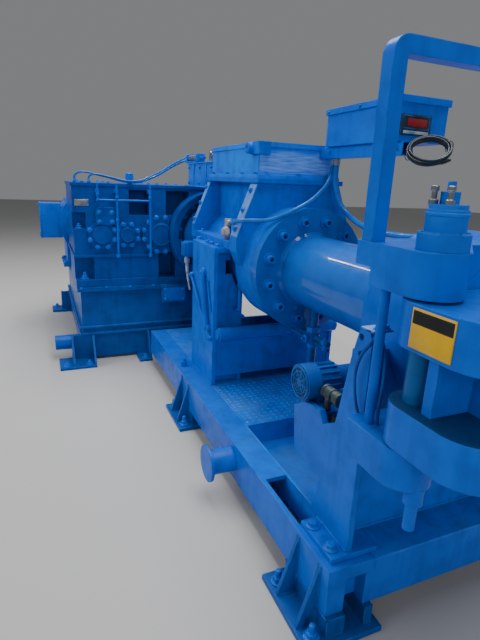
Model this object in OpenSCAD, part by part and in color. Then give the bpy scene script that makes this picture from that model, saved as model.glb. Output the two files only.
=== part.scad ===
/* [Base frame] */
// Half width of the main base, centre line to the outer face of a side beam
base_half_w = 565; // [520:5:620]
// Top of the side beams above the floor
base_top = 290; // [270:5:330]
// Underside of the side beams above the floor
beam_low = 98; // [80:2:120]
// Upstream end of the main base along X
base_back = -1850; // [-1900:10:-1780]
// Downstream end of the main base along X
base_front = 930; // [920:5:980]
// Flange width of a side beam
beam_flange_w = 125; // [110:5:150]
// Web and flange thickness of a side beam
beam_t = 20; // [14:1:24]

/* [Main feet] */
// Distance from the middle of the base to the middle of each foot along X
foot_span = 797; // [760:1:830]
// Length of a foot plate along X
foot_l = 364; // [320:2:380]
// Thickness of a foot plate
foot_t = 22; // [18:1:30]
// How far a foot plate reaches past the beam's outer face
foot_out = 88; // [75:1:100]
// How far a foot plate reaches inwards from the beam's outer face
foot_in = 222; // [180:2:240]
// Anchor hole diameter in the foot plates
anchor_d = 26; // [18:1:30]
// Distance from a foot's middle to each of its two anchor holes
anchor_off = 128; // [110:1:140]

/* [Line] */
// Height of the barrel and gearbox output axis above the floor
axis_z = 1090; // [1060:5:1130]

/* [Gearbox] */
// Gap along X between the gearbox and the main base
gear_gap = 180; // [150:5:210]
// Length of the gearbox along X
gear_len = 750; // [700:10:800]
// Side of the gearbox away from the barrel axis, as a distance from that axis
gear_side = 1135; // [1100:5:1160]
// Other side of the gearbox, as a distance from the barrel axis
gear_far = 400; // [390:5:440]
// Height of the gearbox above its base
gear_h = 842; // [820:2:860]
// Height of the lower case, base to parting line
gear_low_h = 261; // [240:1:280]
// Height of the gearbox base
gear_base_h = 655; // [640:5:670]
// Length of the gearbox and motor base along X
gear_base_len = 1750; // [1700:10:1800]

/* [Motor] */
// Outer radius of the motor frame
motor_r = 310; // [290:5:330]
// Length of the motor frame
motor_len = 640; // [600:10:680]
// Distance of the motor axis from the barrel axis
motor_off = 893; // [880:1:910]

/* [Feed section] */
// Downstream face of the feed pedestal along X
feed_ped_front = -630; // [-650:5:-610]
// Length of the feed pedestal along X
feed_ped_len = 430; // [400:10:450]
// Half width of the feed pedestal, centre line to the outside of a side plate
feed_ped_half = 441; // [430:1:450]
// Height of the seat on the feed pedestal above the floor
feed_seat_z = 1170; // [1165:1:1180]
// Downstream face of the feed housing's front plate along X
housing_front = -450; // [-460:5:-440]
// Length of the feed housing along X
housing_len = 840; // [800:10:860]
// Half width of the feed housing under the hopper
housing_top_half = 262; // [252:1:270]
// Half width of the feed housing at its lower corners
housing_low_half = 380; // [370:1:395]
// Top of the feed housing's hopper flange above the floor
hopper_seat_z = 1575; // [1570:1:1590]
// Half width of the feed throat, across the line
throat_half = 120; // [100:5:140]
// Length of the feed throat along X
throat_len = 420; // [360:10:460]

/* [Hopper] */
// Height of the hopper box
hopper_h = 193; // [170:1:220]
// Wall thickness of the hopper box
hopper_t = 10; // [6:1:12]

/* [Barrel] */
// Outer radius of the barrel
barrel_r = 195; // [185:1:205]
// Bore radius of the barrel
bore_r = 102; // [90:1:110]
// Outer radius of the barrel flange
flange_r = 340; // [330:1:350]
// Downstream face of the barrel flange along X
flange_face = -260; // [-270:1:-250]
// Thickness of the barrel flange
flange_t = 70; // [60:1:80]
// Radius of the bolt circle on the barrel flange
bolt_circle_r = 273; // [268:1:282]
// Number of flange bolts
bolt_count = 12; // [8:1:16]

/* [Head and gate] */
// Radius of the head block at the barrel's end
head_r = 330; // [310:5:335]
// Upstream face of the head block along X
head_back = 640; // [630:5:660]
// Downstream face of the head block along X
head_face = 1010; // [1000:1:1015]
// Hinge axis along X
hinge_x = 1086; // [1080:1:1092]
// Distance of the hinge axis from the barrel axis
hinge_y = 460; // [455:1:470]
// Radius of the hinge pin
hinge_r = 42; // [38:1:46]
// Radius of the round end of an ear
ear_r = 85; // [80:1:88]
// Thickness of a fixed ear
ear_t = 118; // [110:1:122]
// Half height of the space between the fixed ears
ear_gap_half = 213; // [210:1:220]
// Middle of the hinge above the floor
hinge_mid_z = 1075; // [1070:1:1085]
// Gap between the gate and the fixed pieces round it
gate_gap = 8; // [6:1:10]
// Thickness of a gate arm
gate_arm_t = 122; // [110:1:126]
// Thickness of the gate along X
gate_l = 342; // [320:2:360]
// Radius of the die bore in the gate
die_r = 60; // [40:1:80]
// Height of the portal above the upper ears
portal_h = 516; // [480:2:540]
// Width of the portal's square tube
portal_w = 45; // [40:1:50]

/* [Control box] */
// Length of the control box along X
control_l = 585; // [540:5:620]
// Width of the control box across the line
control_w = 270; // [250:5:290]
// Height of the control box
control_h = 190; // [170:5:210]

/* [Hidden] */
$fn = 48;

machine_blue = [0.05, 0.36, 0.78];
deep_blue = [0.04, 0.28, 0.62];
bare_steel = [0.62, 0.63, 0.62];
brass = [0.62, 0.50, 0.26];

// Facets round a large and a small circle, and the overlap of a cut past a face
big_fn = 64;
small_fn = 24;
past = 1;

// Cylinder along X, from x0 to x1, on the axis at y, z
module rod_x(x0, x1, y, z, r, fn = 48) {
    translate([x0, y, z]) rotate([0, 90, 0]) cylinder(r = r, h = x1 - x0, $fn = fn);
}

// Cylinder along Y, from y0 to y1, on the axis at x, z
module rod_y(y0, y1, x, z, r, fn = 48) {
    translate([x, y0, z]) rotate([-90, 0, 0]) cylinder(r = r, h = y1 - y0, $fn = fn);
}

// Cylinder along Z, from z0 to z1, on the axis at x, y
module rod_z(z0, z1, x, y, r, fn = 48) {
    translate([x, y, z0]) cylinder(r = r, h = z1 - z0, $fn = fn);
}

// Box between two opposite corners
module box(low, high) {
    translate(low) cube(high - low);
}

// Plate whose outline is in X and Z, from y0 to y1
module plate_xz(points, y0, y1) {
    translate([0, y1, 0]) rotate([90, 0, 0]) linear_extrude(y1 - y0) polygon(points);
}

// Plate whose outline is in Y and Z, from x0 to x1
module plate_yz(points, x0, x1) {
    translate([x0, 0, 0]) rotate([90, 0, 90]) linear_extrude(x1 - x0) polygon(points);
}

// The same thing on both sides of the line
module both_sides() {
    children();
    mirror([0, 1, 0]) children();
}

// Front of the gearbox and its base along X
gear_front = base_back - gear_gap;

// Side beams: channels with their webs outwards and their ends closed
beam_inner = base_half_w - beam_flange_w;
beam_end_t = 12;
pocket_back = 385;
pocket_front = 690;
pocket_rim = 23;
end_post_l = 70;
end_post_in = 194;
recess_wall = [75, 33];
recess_top = 53;
recess_d = 55;
module base_beams() {
    color(machine_blue)
        both_sides() {
            difference() {
                box([base_front - end_post_l, -base_half_w, beam_low], [base_front, -base_half_w + end_post_in, base_top]);
                box([base_front - recess_d, -base_half_w + recess_wall[0], beam_low - past],
                    [base_front + past, -base_half_w + end_post_in - recess_wall[1], base_top - recess_top]);
            }
            difference() {
                box([base_back, -base_half_w, beam_low], [base_front - end_post_l, -beam_inner, base_top]);
                box([base_back + beam_end_t, -base_half_w + beam_t, beam_low + beam_t],
                    [base_front - end_post_l, -beam_inner + past, base_top - beam_t]);
                box([pocket_back, -base_half_w + pocket_rim, base_top - beam_t - past],
                    [pocket_front, -beam_inner + past, base_top + past]);
            }
        }
}

// Cross members: channels between the side beams, one under each load
deck_t = 10;
low_deck_z = 170;
member_w = 120;
low_member_x = 250;
feed_ped_back = feed_ped_front - feed_ped_len;
module cross_member(x, top, web_x) {
    difference() {
        box([x, -beam_inner, beam_low], [x + member_w, beam_inner, top]);
        box([x + beam_t - web_x - past, -beam_inner - past, beam_low + beam_t],
            [x + member_w - web_x + past, beam_inner + past, top - beam_t]);
    }
}

module base_cross_members() {
    color(machine_blue) {
        for (x = [base_back, feed_ped_back, feed_ped_front - member_w])
            cross_member(x, base_top - deck_t, 0);
        cross_member(low_member_x, low_deck_z - deck_t, 0);
        difference() {
            cross_member(base_front - member_w, base_top - deck_t, beam_t);
            both_sides()
                box([base_front - end_post_l, -base_half_w, beam_low - past],
                    [base_front + past, -base_half_w + end_post_in, base_top]);
        }
    }
}

// Deck: plate between the beams, with a lower well beside the barrel
well_back = -80;
well_front = 640;
module base_deck() {
    color(deep_blue) {
        box([base_back, -beam_inner, base_top - deck_t], [well_back, beam_inner, base_top]);
        box([well_back - deck_t, -beam_inner, low_deck_z - deck_t], [well_back, beam_inner, base_top]);
        box([well_back, -beam_inner, low_deck_z - deck_t], [well_front, beam_inner, low_deck_z]);
        both_sides()
            box([well_back, -beam_inner, low_deck_z], [well_front, -beam_inner + deck_t, base_top]);
        box([well_front - deck_t, -beam_inner, low_deck_z], [well_front, beam_inner, base_top]);
        difference() {
            box([well_front, -beam_inner, base_top - deck_t], [base_front, beam_inner, base_top]);
            both_sides()
                box([base_front - end_post_l, -base_half_w, beam_low], [base_front + past, -base_half_w + end_post_in, base_top + past]);
        }
    }
}

// Foot: anchor plate, riser under the beam and two sloping gussets
foot_outer_y = base_half_w + foot_out;
anchor_y = base_half_w + foot_out / 2;
riser_inset = 30;
riser_in = end_post_in;
riser_web = 16;
gusset_t = 16;
gusset_off = 75;
gusset_toe = 8;
gusset_drop = 15;
module main_foot() {
    difference() {
        box([-foot_l / 2, -foot_outer_y, 0], [foot_l / 2, -base_half_w + foot_in, foot_t]);
        for (x = [-anchor_off, anchor_off])
            rod_z(-past, foot_t + past, x, -anchor_y, anchor_d / 2);
    }
    difference() {
        box([-foot_l / 2 + riser_inset, -base_half_w, foot_t], [foot_l / 2 - riser_inset, -base_half_w + riser_in, beam_low]);
        box([-foot_l / 2 + riser_inset + riser_web, -base_half_w + recess_wall[0], foot_t - past],
            [foot_l / 2, -base_half_w + riser_in - recess_wall[1], beam_low + past]);
    }
    for (x = [-gusset_off, gusset_off])
        plate_yz([[-foot_outer_y + gusset_toe, foot_t], [-base_half_w, foot_t], [-base_half_w, base_top - gusset_drop]],
            x - gusset_t / 2, x + gusset_t / 2);
}

module main_feet() {
    color(machine_blue)
        both_sides() {
            translate([foot_span, 0, 0]) main_foot();
            translate([-foot_span, 0, 0]) mirror([1, 0, 0]) main_foot();
        }
}

// Lifting trunnions: a pipe with an end disc on the main base, an open pipe on the gearbox base
trunnion_r = 62;
trunnion_disc_r = 92;
trunnion_l = 125;
trunnion_disc_t = 14;
trunnion_x = 45;
trunnion_z = (beam_low + base_top) / 2;
pipe_stub_l = 225;
pipe_stub_bore_r = 52;
pipe_stub_z = 148;
pipe_stub_in = 130;
pipe_stub_x = gear_front - pipe_stub_in;
module pipe_stub(root) {
    difference() {
        rod_y(-root - pipe_stub_l, -root, pipe_stub_x, pipe_stub_z, trunnion_r);
        rod_y(-root - pipe_stub_l - past, -root - beam_t, pipe_stub_x, pipe_stub_z, pipe_stub_bore_r);
    }
}

module lifting_trunnions() {
    color(machine_blue) {
        both_sides() {
            rod_y(-base_half_w - trunnion_l, -base_half_w, trunnion_x, trunnion_z, trunnion_r);
            rod_y(-base_half_w - trunnion_l - trunnion_disc_t, -base_half_w - trunnion_l, trunnion_x, trunnion_z,
                trunnion_disc_r);
        }
        pipe_stub(gear_base_side);
        mirror([0, 1, 0]) pipe_stub(gear_base_far);
    }
}

// Gearbox base: a closed box set in under its top plate, with two rails round it
skirt_in = 28;
gear_base_side = gear_side - skirt_in;
gear_base_far = gear_far - skirt_in;
gear_base_back = gear_front - gear_base_len;
skirt_back = gear_base_back + skirt_in;
skirt_front = gear_front - skirt_in;
gear_base_low = 22;
gear_top_plate_t = 36;
gear_lip = 12;
rail_out = 22;
rail_t = 14;
rail_heights = [236, 294];
step_box = [[-435, 500], [-215, 650]];
step_box_out = 90;
module gearbox_base() {
    color(machine_blue) {
        box([skirt_back, -gear_base_side, gear_base_low], [skirt_front, gear_base_far, gear_base_h - gear_top_plate_t]);
        box([gear_base_back, -gear_side, gear_base_h - gear_top_plate_t], [gear_front + gear_lip, gear_far, gear_base_h]);
        for (z = rail_heights)
            box([skirt_back - rail_out, -gear_base_side - rail_out, z],
                [skirt_front + rail_out, gear_base_far + rail_out, z + rail_t]);
        box([skirt_front, step_box[0][0], step_box[0][1]], [skirt_front + step_box_out, step_box[1][0], step_box[1][1]]);
    }
}

// Feet of the gearbox base: plates with gussets at its corners, and small ones between
gear_foot_out = 198;
gear_foot_w = 290;
gear_foot_side = 203;
gear_foot_in = 40;
gear_bolt_side = 55;
gear_bolt_out = 153;
gear_gusset_toe = 12;
gear_bracket_out = 98;
gear_gusset_rise = 20;
gear_gusset_top = 50;
module gear_corner_foot() {
    difference() {
        box([-gear_foot_in, -gear_foot_side, 0], [gear_foot_out, gear_foot_w - gear_foot_side, gear_base_low]);
        for (y = [-gear_foot_side + gear_bolt_side, gear_foot_w - gear_foot_side - gear_bolt_side])
            rod_z(-past, gear_base_low + past, gear_bolt_out, y, anchor_d / 2);
    }
    box([0, -gear_bracket_out, gear_base_low], [gusset_t, gear_foot_w - gear_foot_side, rail_heights[0]]);
    for (y = [-gear_bracket_out, gear_foot_w - gear_foot_side - gusset_t])
        plate_xz([
            [0, gear_base_low], [gear_foot_out - gear_gusset_toe, gear_base_low],
            [gear_foot_out - gear_gusset_toe, gear_base_low + gear_gusset_rise],
            [gear_gusset_top, rail_heights[0]], [0, rail_heights[0]]
        ], y, y + gusset_t);
}

gear_mid_out = 178;
gear_mid_bolt = 133;
gear_mid_w = 110;
gear_mid_y = (gear_base_far - gear_base_side) / 2;
gear_mid_off = 233;
module gear_mid_foot() {
    difference() {
        box([-gear_foot_in, -gear_mid_w / 2, 0], [gear_mid_out, gear_mid_w / 2, gear_base_low]);
        rod_z(-past, gear_base_low + past, gear_mid_bolt, 0, anchor_d / 2);
    }
    plate_xz([
        [0, gear_base_low], [gear_mid_out - gear_gusset_toe, gear_base_low],
        [gear_gusset_top, rail_heights[0]], [0, rail_heights[0]]
    ], gear_mid_w / 2 - gusset_t, gear_mid_w / 2);
}

module gearbox_base_feet() {
    color(machine_blue)
        for (end = [0, 1])
            translate([end == 0 ? skirt_front : skirt_back, 0, 0]) mirror([end, 0, 0]) {
                translate([0, -gear_base_side, 0]) gear_corner_foot();
                translate([0, gear_base_far, 0]) mirror([0, 1, 0]) gear_corner_foot();
                for (y = [gear_mid_y - gear_mid_off, gear_mid_y + gear_mid_off])
                    translate([0, y, 0]) gear_mid_foot();
            }
}

// Gearbox lower case: foot flange, corner pockets for the holding-down bolts and a deep opening
gear_back = gear_front - gear_len;
case_step = 15;
case_face = gear_front - case_step;
case_rear = gear_back + case_step;
case_foot_h = 62;
gear_split_z = gear_base_h + gear_low_h;
gear_top_z = gear_base_h + gear_h;
corner_w = 150;
corner_d = 110;
corner_h = 188;
opening_y = [-446, -294];
opening_top = 940;
opening_d = 180;
module gearbox_lower_case() {
    foot_z = gear_base_h + case_foot_h;
    color(machine_blue)
        difference() {
            union() {
                box([gear_back, -gear_side, gear_base_h], [gear_front, gear_far, foot_z]);
                box([case_rear, -gear_side, foot_z], [case_face, gear_far, gear_split_z]);
            }
            for (y = [-gear_side - past, gear_far - corner_w])
                for (x = [case_face - corner_d, case_rear - past])
                    box([x, y, foot_z], [x + corner_d + past, y + corner_w + past, foot_z + corner_h]);
            box([case_face - opening_d, opening_y[0], foot_z], [case_face + past, opening_y[1], gear_split_z + past]);
        }
}

// Gearbox upper case: lid flange, corner pockets and two deep openings
lid_t = 24;
lid_out = 8;
top_corner_w = 100;
top_corner_z = [1135, 1266];
case_openings = [[-689, -524], [-379, -179]];
case_opening_z = [1250, 1453];
module gearbox_upper_case() {
    color(machine_blue)
        difference() {
            union() {
                box([case_rear, -gear_side, gear_split_z], [case_face, gear_far, gear_top_z]);
                box([case_rear - lid_out, -gear_side - lid_out, gear_top_z - lid_t],
                    [case_face + lid_out, gear_far + lid_out, gear_top_z]);
            }
            for (y = [-gear_side - past, gear_far - top_corner_w])
                for (x = [case_face - corner_d, case_rear - past])
                    box([x, y, top_corner_z[0]], [x + corner_d + past, y + top_corner_w + past, top_corner_z[1]]);
            for (y = case_openings)
                box([case_face - opening_d, y[0], case_opening_z[0]], [case_face + past, y[1], case_opening_z[1]]);
            box([case_face - opening_d, opening_y[0], gear_split_z - past], [case_face + past, opening_y[1], opening_top]);
        }
}

// Bearing covers on the front of the gearbox: each a flange and a raised hub
cover_t = 32;
hub_t = 52;
covers = [[-915, 112, 74], [-712, 98, 62], [-430, 158, 96]];
boss_y = [-963, -808];
boss_z = [1168, 1311];
boss_t = 40;
boss_corner_r = 45;
cover_gap = 6;
module bearing_covers() {
    color(machine_blue) {
        difference() {
            for (c = covers) {
                rod_x(case_face, case_face + cover_t, c[0], axis_z, c[1]);
                rod_x(case_face, case_face + hub_t, c[0], axis_z, c[2]);
            }
            rod_x(case_face - past, case_face + hub_t + past, 0, axis_z, output_flange_r + cover_gap, big_fn);
        }
        box([case_face, boss_y[0], boss_z[0]], [case_face + boss_t, boss_y[1], boss_z[1] - boss_corner_r]);
        box([case_face, boss_y[0] + boss_corner_r, boss_z[0]], [case_face + boss_t, boss_y[1], boss_z[1]]);
        rod_x(case_face, case_face + boss_t, boss_y[0] + boss_corner_r, boss_z[1] - boss_corner_r, boss_corner_r);
    }
}

// Oil pipes down the front of the gearbox, and its breather
pipe_r = 9;
pipe_x = case_face + hub_t + pipe_r;
pipe_z = [905, 1490];
pipe_places = [-795, -527];
pipe_cross_z = 1368;
pipe_start_y = -944;
clip_z = [920, 1440];
clip_half = 14;
breather_y = -670;
breather_in = 60;
breather_r = [20, 33];
breather_h = [28, 74];
module lube_pipes() {
    color(machine_blue) {
        for (y = pipe_places) {
            rod_z(pipe_z[0], pipe_z[1], pipe_x, y, pipe_r, small_fn);
            for (z = clip_z)
                box([case_face, y - clip_half, z - clip_half], [pipe_x, y + clip_half, z + clip_half]);
        }
        rod_y(pipe_start_y, pipe_places[1], pipe_x, pipe_cross_z, pipe_r, small_fn);
        rod_z(pipe_cross_z - pipe_r, pipe_z[1], pipe_x, pipe_start_y, pipe_r, small_fn);
        box([case_face, pipe_start_y - clip_half, clip_z[1] - clip_half],
            [pipe_x, pipe_start_y + clip_half, clip_z[1] + clip_half]);
        rod_z(gear_top_z, gear_top_z + breather_h[0], case_face - breather_in, breather_y, breather_r[0], small_fn);
        rod_z(gear_top_z + breather_h[0], gear_top_z + breather_h[1], case_face - breather_in, breather_y, breather_r[1],
            small_fn);
    }
}

// Output housing: a big grooved flange and the thrust housing behind the feed section
output_flange_r = 365;
output_l = 150;
output_front = gear_front + output_l;
thrust_r = 262;
groove_r = 312;
groove_d = 80;
housing_back = housing_front - housing_len;
module output_housing() {
    color(machine_blue) {
        difference() {
            rod_x(case_face, output_front, 0, axis_z, output_flange_r, big_fn);
            rod_x(output_front - groove_d, output_front + past, 0, axis_z, groove_r, big_fn);
        }
        rod_x(output_front - groove_d, housing_back, 0, axis_z, thrust_r, big_fn);
    }
}

// Drive motor behind the gearbox, with its two feet
motor_gap = 190;
motor_front = gear_back - motor_gap;
motor_back = motor_front - motor_len;
motor_foot_t = 24;
motor_foot_w = 60;
motor_foot_in = 60;
motor_foot_side = 20;
motor_foot_h = 255;
motor_bell = 40;
motor_cowl = 50;
motor_cowl_in = 30;
module drive_motor() {
    color(machine_blue) {
        rod_x(motor_back, motor_front, -motor_off, axis_z, motor_r, big_fn);
        rod_x(motor_front, motor_front + motor_bell, -motor_off, axis_z, motor_r - motor_foot_in);
        rod_x(motor_back - motor_cowl, motor_back, -motor_off, axis_z, motor_r - motor_cowl_in);
        for (side = [-1, 1])
            translate([0, -motor_off + side * (motor_r - motor_foot_in - motor_foot_w / 2), 0])
                box([motor_back + motor_foot_in, -motor_foot_w / 2, gear_base_h],
                    [motor_front - motor_foot_in, motor_foot_w / 2, gear_base_h + motor_foot_h]);
        box([motor_back + motor_foot_in, -motor_off - motor_r + motor_foot_side, gear_base_h],
            [motor_front - motor_foot_in, -motor_off + motor_r - motor_foot_side, gear_base_h + motor_foot_t]);
    }
}

terminal_w = 170;
terminal_z = [950, 1280];
terminal_l = 220;
terminal_in = 25;
module motor_terminal_box() {
    color(machine_blue)
        difference() {
            box([motor_front - motor_foot_in - terminal_l, -motor_off - motor_r - terminal_w, terminal_z[0]],
                [motor_front - motor_foot_in, -motor_off - motor_r + terminal_in, terminal_z[1]]);
            rod_x(motor_back, motor_front, -motor_off, axis_z, motor_r, big_fn);
        }
}

guard_r = 150;
module coupling_guard() {
    color(machine_blue)
        rod_x(motor_front + motor_bell, case_rear, -motor_off, axis_z, guard_r);
}

// Radius of the round casting that the legs stand clear of
core_r = 300;

// Feed pedestal: two box legs with set-back webs and windows, joined by low panels
ped_plate_t = 25;
seat_w = 125;
seat_t = 30;
leg_inner = 225;
web_set = 60;
leg_clear_r = core_r + 14;
window_y = [-345, -290];
window_z = [1000, 1085];
panel_set = 12;
panel_z = [343, 600];
module leg() {
    inner = feed_ped_half - ped_plate_t;
    web_x = feed_ped_front - web_set;
    box([feed_ped_back, -feed_ped_half, base_top], [feed_ped_front, -inner, feed_seat_z]);
    box([feed_ped_back, -feed_ped_half, feed_seat_z - seat_t],
        [feed_ped_front, -feed_ped_half + seat_w, feed_seat_z]);
    difference() {
        union() {
            box([feed_ped_back, -leg_inner - ped_plate_t, base_top], [web_x, -leg_inner, feed_seat_z]);
            box([web_x - ped_plate_t, -inner, base_top], [web_x, -leg_inner, feed_seat_z]);
            box([feed_ped_back, -inner, base_top], [feed_ped_back + ped_plate_t, -leg_inner, feed_seat_z]);
        }
        rod_x(feed_ped_back - past, web_x + past, 0, axis_z, leg_clear_r, big_fn);
        box([web_x - ped_plate_t - past, window_y[0], window_z[0]], [web_x + past, window_y[1], window_z[1]]);
    }
}

module feed_pedestal() {
    inner = feed_ped_half - ped_plate_t;
    color(machine_blue) {
        both_sides() leg();
        box([feed_ped_back, -leg_inner, base_top], [feed_ped_back + ped_plate_t, leg_inner, panel_z[1]]);
        box([feed_ped_front - panel_set - ped_plate_t, -inner, panel_z[0]], [feed_ped_front - panel_set, inner, panel_z[1]]);
        for (y = [-leg_inner - ped_plate_t, leg_inner])
            box([feed_ped_front - web_set, y, base_top], [feed_ped_front - panel_set - ped_plate_t, y + ped_plate_t, panel_z[1]]);
    }
}

// Round tube across the front of the feed pedestal, with stepped end caps
cross_pipe_r = 42;
cross_pipe_half = 418;
cross_pipe_flat = 4;
cross_pipe_cap = 12;
cross_pipe_z = 642;
module cross_pipe() {
    pipe_axis_x = feed_ped_front + cross_pipe_r - cross_pipe_flat;
    color(machine_blue)
        difference() {
            union() {
                rod_y(-cross_pipe_half, cross_pipe_half, pipe_axis_x, cross_pipe_z, cross_pipe_r);
                for (y = [-cross_pipe_half - cross_pipe_cap, cross_pipe_half])
                    rod_y(y, y + cross_pipe_cap, pipe_axis_x, cross_pipe_z, cross_pipe_r - cross_pipe_cap);
            }
            box([feed_ped_front - cross_pipe_r, -feed_ped_half - cross_pipe_r, cross_pipe_z - cross_pipe_r],
                [feed_ped_front, feed_ped_half + cross_pipe_r, cross_pipe_z + cross_pipe_r]);
        }
}

// Feed housing: the round casting under the throat, its side bars and its pillars
front_plate_t = 100;
rear_plate_t = 60;
core_back = housing_back + rear_plate_t;
core_front = housing_front - front_plate_t;
bar_h = 45;
bar_w = 90;
throat_wall = 70;
throat_mid = housing_front - housing_len / 2;
throat_back = throat_mid - throat_len / 2;
throat_front = throat_mid + throat_len / 2;
throat_out = throat_half + throat_wall;
throat_lift = 8;
wall_low_z = axis_z + bore_r + throat_lift;
hopper_flange_t = 26;
module feed_housing() {
    color(machine_blue)
        difference() {
            union() {
                rod_x(core_back, core_front, 0, axis_z, core_r, big_fn);
                both_sides()
                    box([core_back, -housing_low_half, feed_seat_z],
                        [core_front, -housing_low_half + bar_w + bar_h, feed_seat_z + bar_h]);
            }
            box([throat_back, -throat_half, axis_z], [throat_front, throat_half, axis_z + core_r + past]);
            box([core_back - past, -throat_out, wall_low_z], [core_front + past, throat_out, axis_z + core_r + past]);
            rod_x(core_back - past, core_front + past, 0, axis_z, bore_r);
        }
}

// Walls of the throat between the round casting and the hopper flange
flange_over = 20;
flange_side = 10;
module throat_walls() {
    color(machine_blue) {
        difference() {
            box([core_back, -throat_out, wall_low_z], [core_front, throat_out, hopper_seat_z - hopper_flange_t]);
            box([throat_back, -throat_half, wall_low_z - past],
                [throat_front, throat_half, hopper_seat_z - hopper_flange_t + past]);
        }
        difference() {
            box([housing_back - flange_over, -housing_top_half - flange_side, hopper_seat_z - hopper_flange_t],
                [housing_front + flange_over, housing_top_half + flange_side, hopper_seat_z]);
            box([throat_back, -throat_half, hopper_seat_z - hopper_flange_t - past],
                [throat_front, throat_half, hopper_seat_z + past]);
        }
    }
}

// End plates of the feed housing, with the front rim that takes the barrel flange
corner_z = feed_seat_z + 78;
rim_r = flange_r - 2;
arch_half = rim_r + 10;
arch_z = axis_z + 12;
arch_low = 60;
module end_plate(x0, x1) {
    top_z = hopper_seat_z - hopper_flange_t;
    plate_yz([
        [-arch_half, arch_z], [-housing_low_half, feed_seat_z], [-housing_low_half, corner_z],
        [-housing_top_half, top_z], [housing_top_half, top_z], [housing_low_half, corner_z],
        [housing_low_half, feed_seat_z], [arch_half, arch_z], [arch_half - arch_low, axis_z - arch_low],
        [arch_low - arch_half, axis_z - arch_low]
    ], x0, x1);
    rod_x(x0, x1, 0, axis_z, rim_r, big_fn);
}

module feed_end_plates() {
    color(machine_blue)
        difference() {
            union() {
                end_plate(housing_back, core_back);
                end_plate(core_front, housing_front);
                rod_x(housing_front, flange_face - flange_t, 0, axis_z, rim_r, big_fn);
            }
            rod_x(housing_back - past, flange_face, 0, axis_z, bore_r);
        }
}

// Screw in the feed throat and barrel, with one helical flight
screw_root_r = 62;
screw_clear = 2;
screw_pitch = 200;
flight_half_angle = 20;
slices_per_turn = 12;
root_fn = 16;
screw_l = head_back - housing_back;
module screw_section() {
    tip_r = bore_r - screw_clear;
    circle(r = screw_root_r, $fn = root_fn);
    polygon([
        [0, 0], [tip_r * cos(flight_half_angle), -tip_r * sin(flight_half_angle)], [tip_r, 0],
        [tip_r * cos(flight_half_angle), tip_r * sin(flight_half_angle)]
    ]);
}

module feed_screw() {
    color(bare_steel)
        translate([housing_back, 0, axis_z]) rotate([0, 90, 0])
            linear_extrude(height = screw_l, twist = -360 * screw_l / screw_pitch,
                slices = round(slices_per_turn * screw_l / screw_pitch))
                screw_section();
}

// Cooling valve on the side bar of the feed housing, with its outlet to the front
valve_x = -700;
valve_y = -335;
valve_r = 20;
valve_h = 120;
valve_neck = 30;
valve_out_r = 13;
valve_arm = 34;
module feed_valve() {
    low_z = feed_seat_z + bar_h;
    color(brass) {
        rod_z(low_z, low_z + valve_h, valve_x, valve_y, valve_r, small_fn);
        rod_y(valve_y - valve_arm, valve_y, valve_x, low_z + valve_h / 3, valve_out_r - 3, small_fn);
        rod_x(valve_x, valve_x + valve_neck, valve_y, low_z + valve_h - valve_r, valve_out_r, small_fn);
    }
}

// Hopper box over the feed throat, with a foot flange and a folded rim
hopper_back = housing_back + flange_over;
hopper_front = housing_front - 38;
hopper_half = housing_top_half - 22;
hopper_top = hopper_seat_z + hopper_h;
hopper_foot_t = 20;
hopper_foot_out = 26;
hopper_rim_h = 28;
hopper_rim_out = 7;
module hopper_box() {
    color(machine_blue)
        difference() {
            union() {
                box([hopper_back, -hopper_half, hopper_seat_z], [hopper_front, hopper_half, hopper_top]);
                box([hopper_back, -hopper_half - hopper_foot_out, hopper_seat_z],
                    [hopper_front + hopper_foot_out, hopper_half + hopper_foot_out, hopper_seat_z + hopper_foot_t]);
                box([hopper_back, -hopper_half - hopper_rim_out, hopper_top - hopper_rim_h],
                    [hopper_front + hopper_rim_out, hopper_half + hopper_rim_out, hopper_top]);
            }
            box([hopper_back + hopper_t, -hopper_half + hopper_t, hopper_seat_z - past],
                [hopper_front - hopper_t, hopper_half - hopper_t, hopper_top + past]);
        }
}

// Latch bracket at the hopper's near corner, with its round roller
latch_l = 118;
latch_t = 14;
latch_h = 66;
roller_r = 30;
roller_w = 22;
module hopper_latch() {
    face_y = -hopper_half - hopper_rim_out;
    face_x = hopper_front + hopper_rim_out;
    color(machine_blue)
        difference() {
            union() {
                box([face_x - latch_l, face_y - latch_t, hopper_top - latch_h], [face_x + latch_t, face_y + latch_l / 2, hopper_top]);
                rod_y(face_y - latch_t - roller_w, face_y - latch_t, face_x - latch_l + roller_r, hopper_top - latch_h / 2, roller_r);
            }
            box([hopper_back, -hopper_half, hopper_seat_z], [hopper_front, hopper_half, hopper_top + past]);
            box([hopper_back, -hopper_half - hopper_rim_out, hopper_top - hopper_rim_h],
                [hopper_front + hopper_rim_out, hopper_half, hopper_top + past]);
        }
}

// Lower box behind the hopper
rear_box_l = 290;
rear_box_half = 200;
rear_box_z = [1500, 1680];
module rear_feed_box() {
    color(machine_blue)
        difference() {
            box([hopper_back - rear_box_l, -rear_box_half, rear_box_z[0]], [hopper_back, rear_box_half, rear_box_z[1]]);
            box([housing_back - flange_over, -rear_box_half - past, rear_box_z[0] - past],
                [hopper_back + past, rear_box_half + past, hopper_seat_z]);
        }
}

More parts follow.
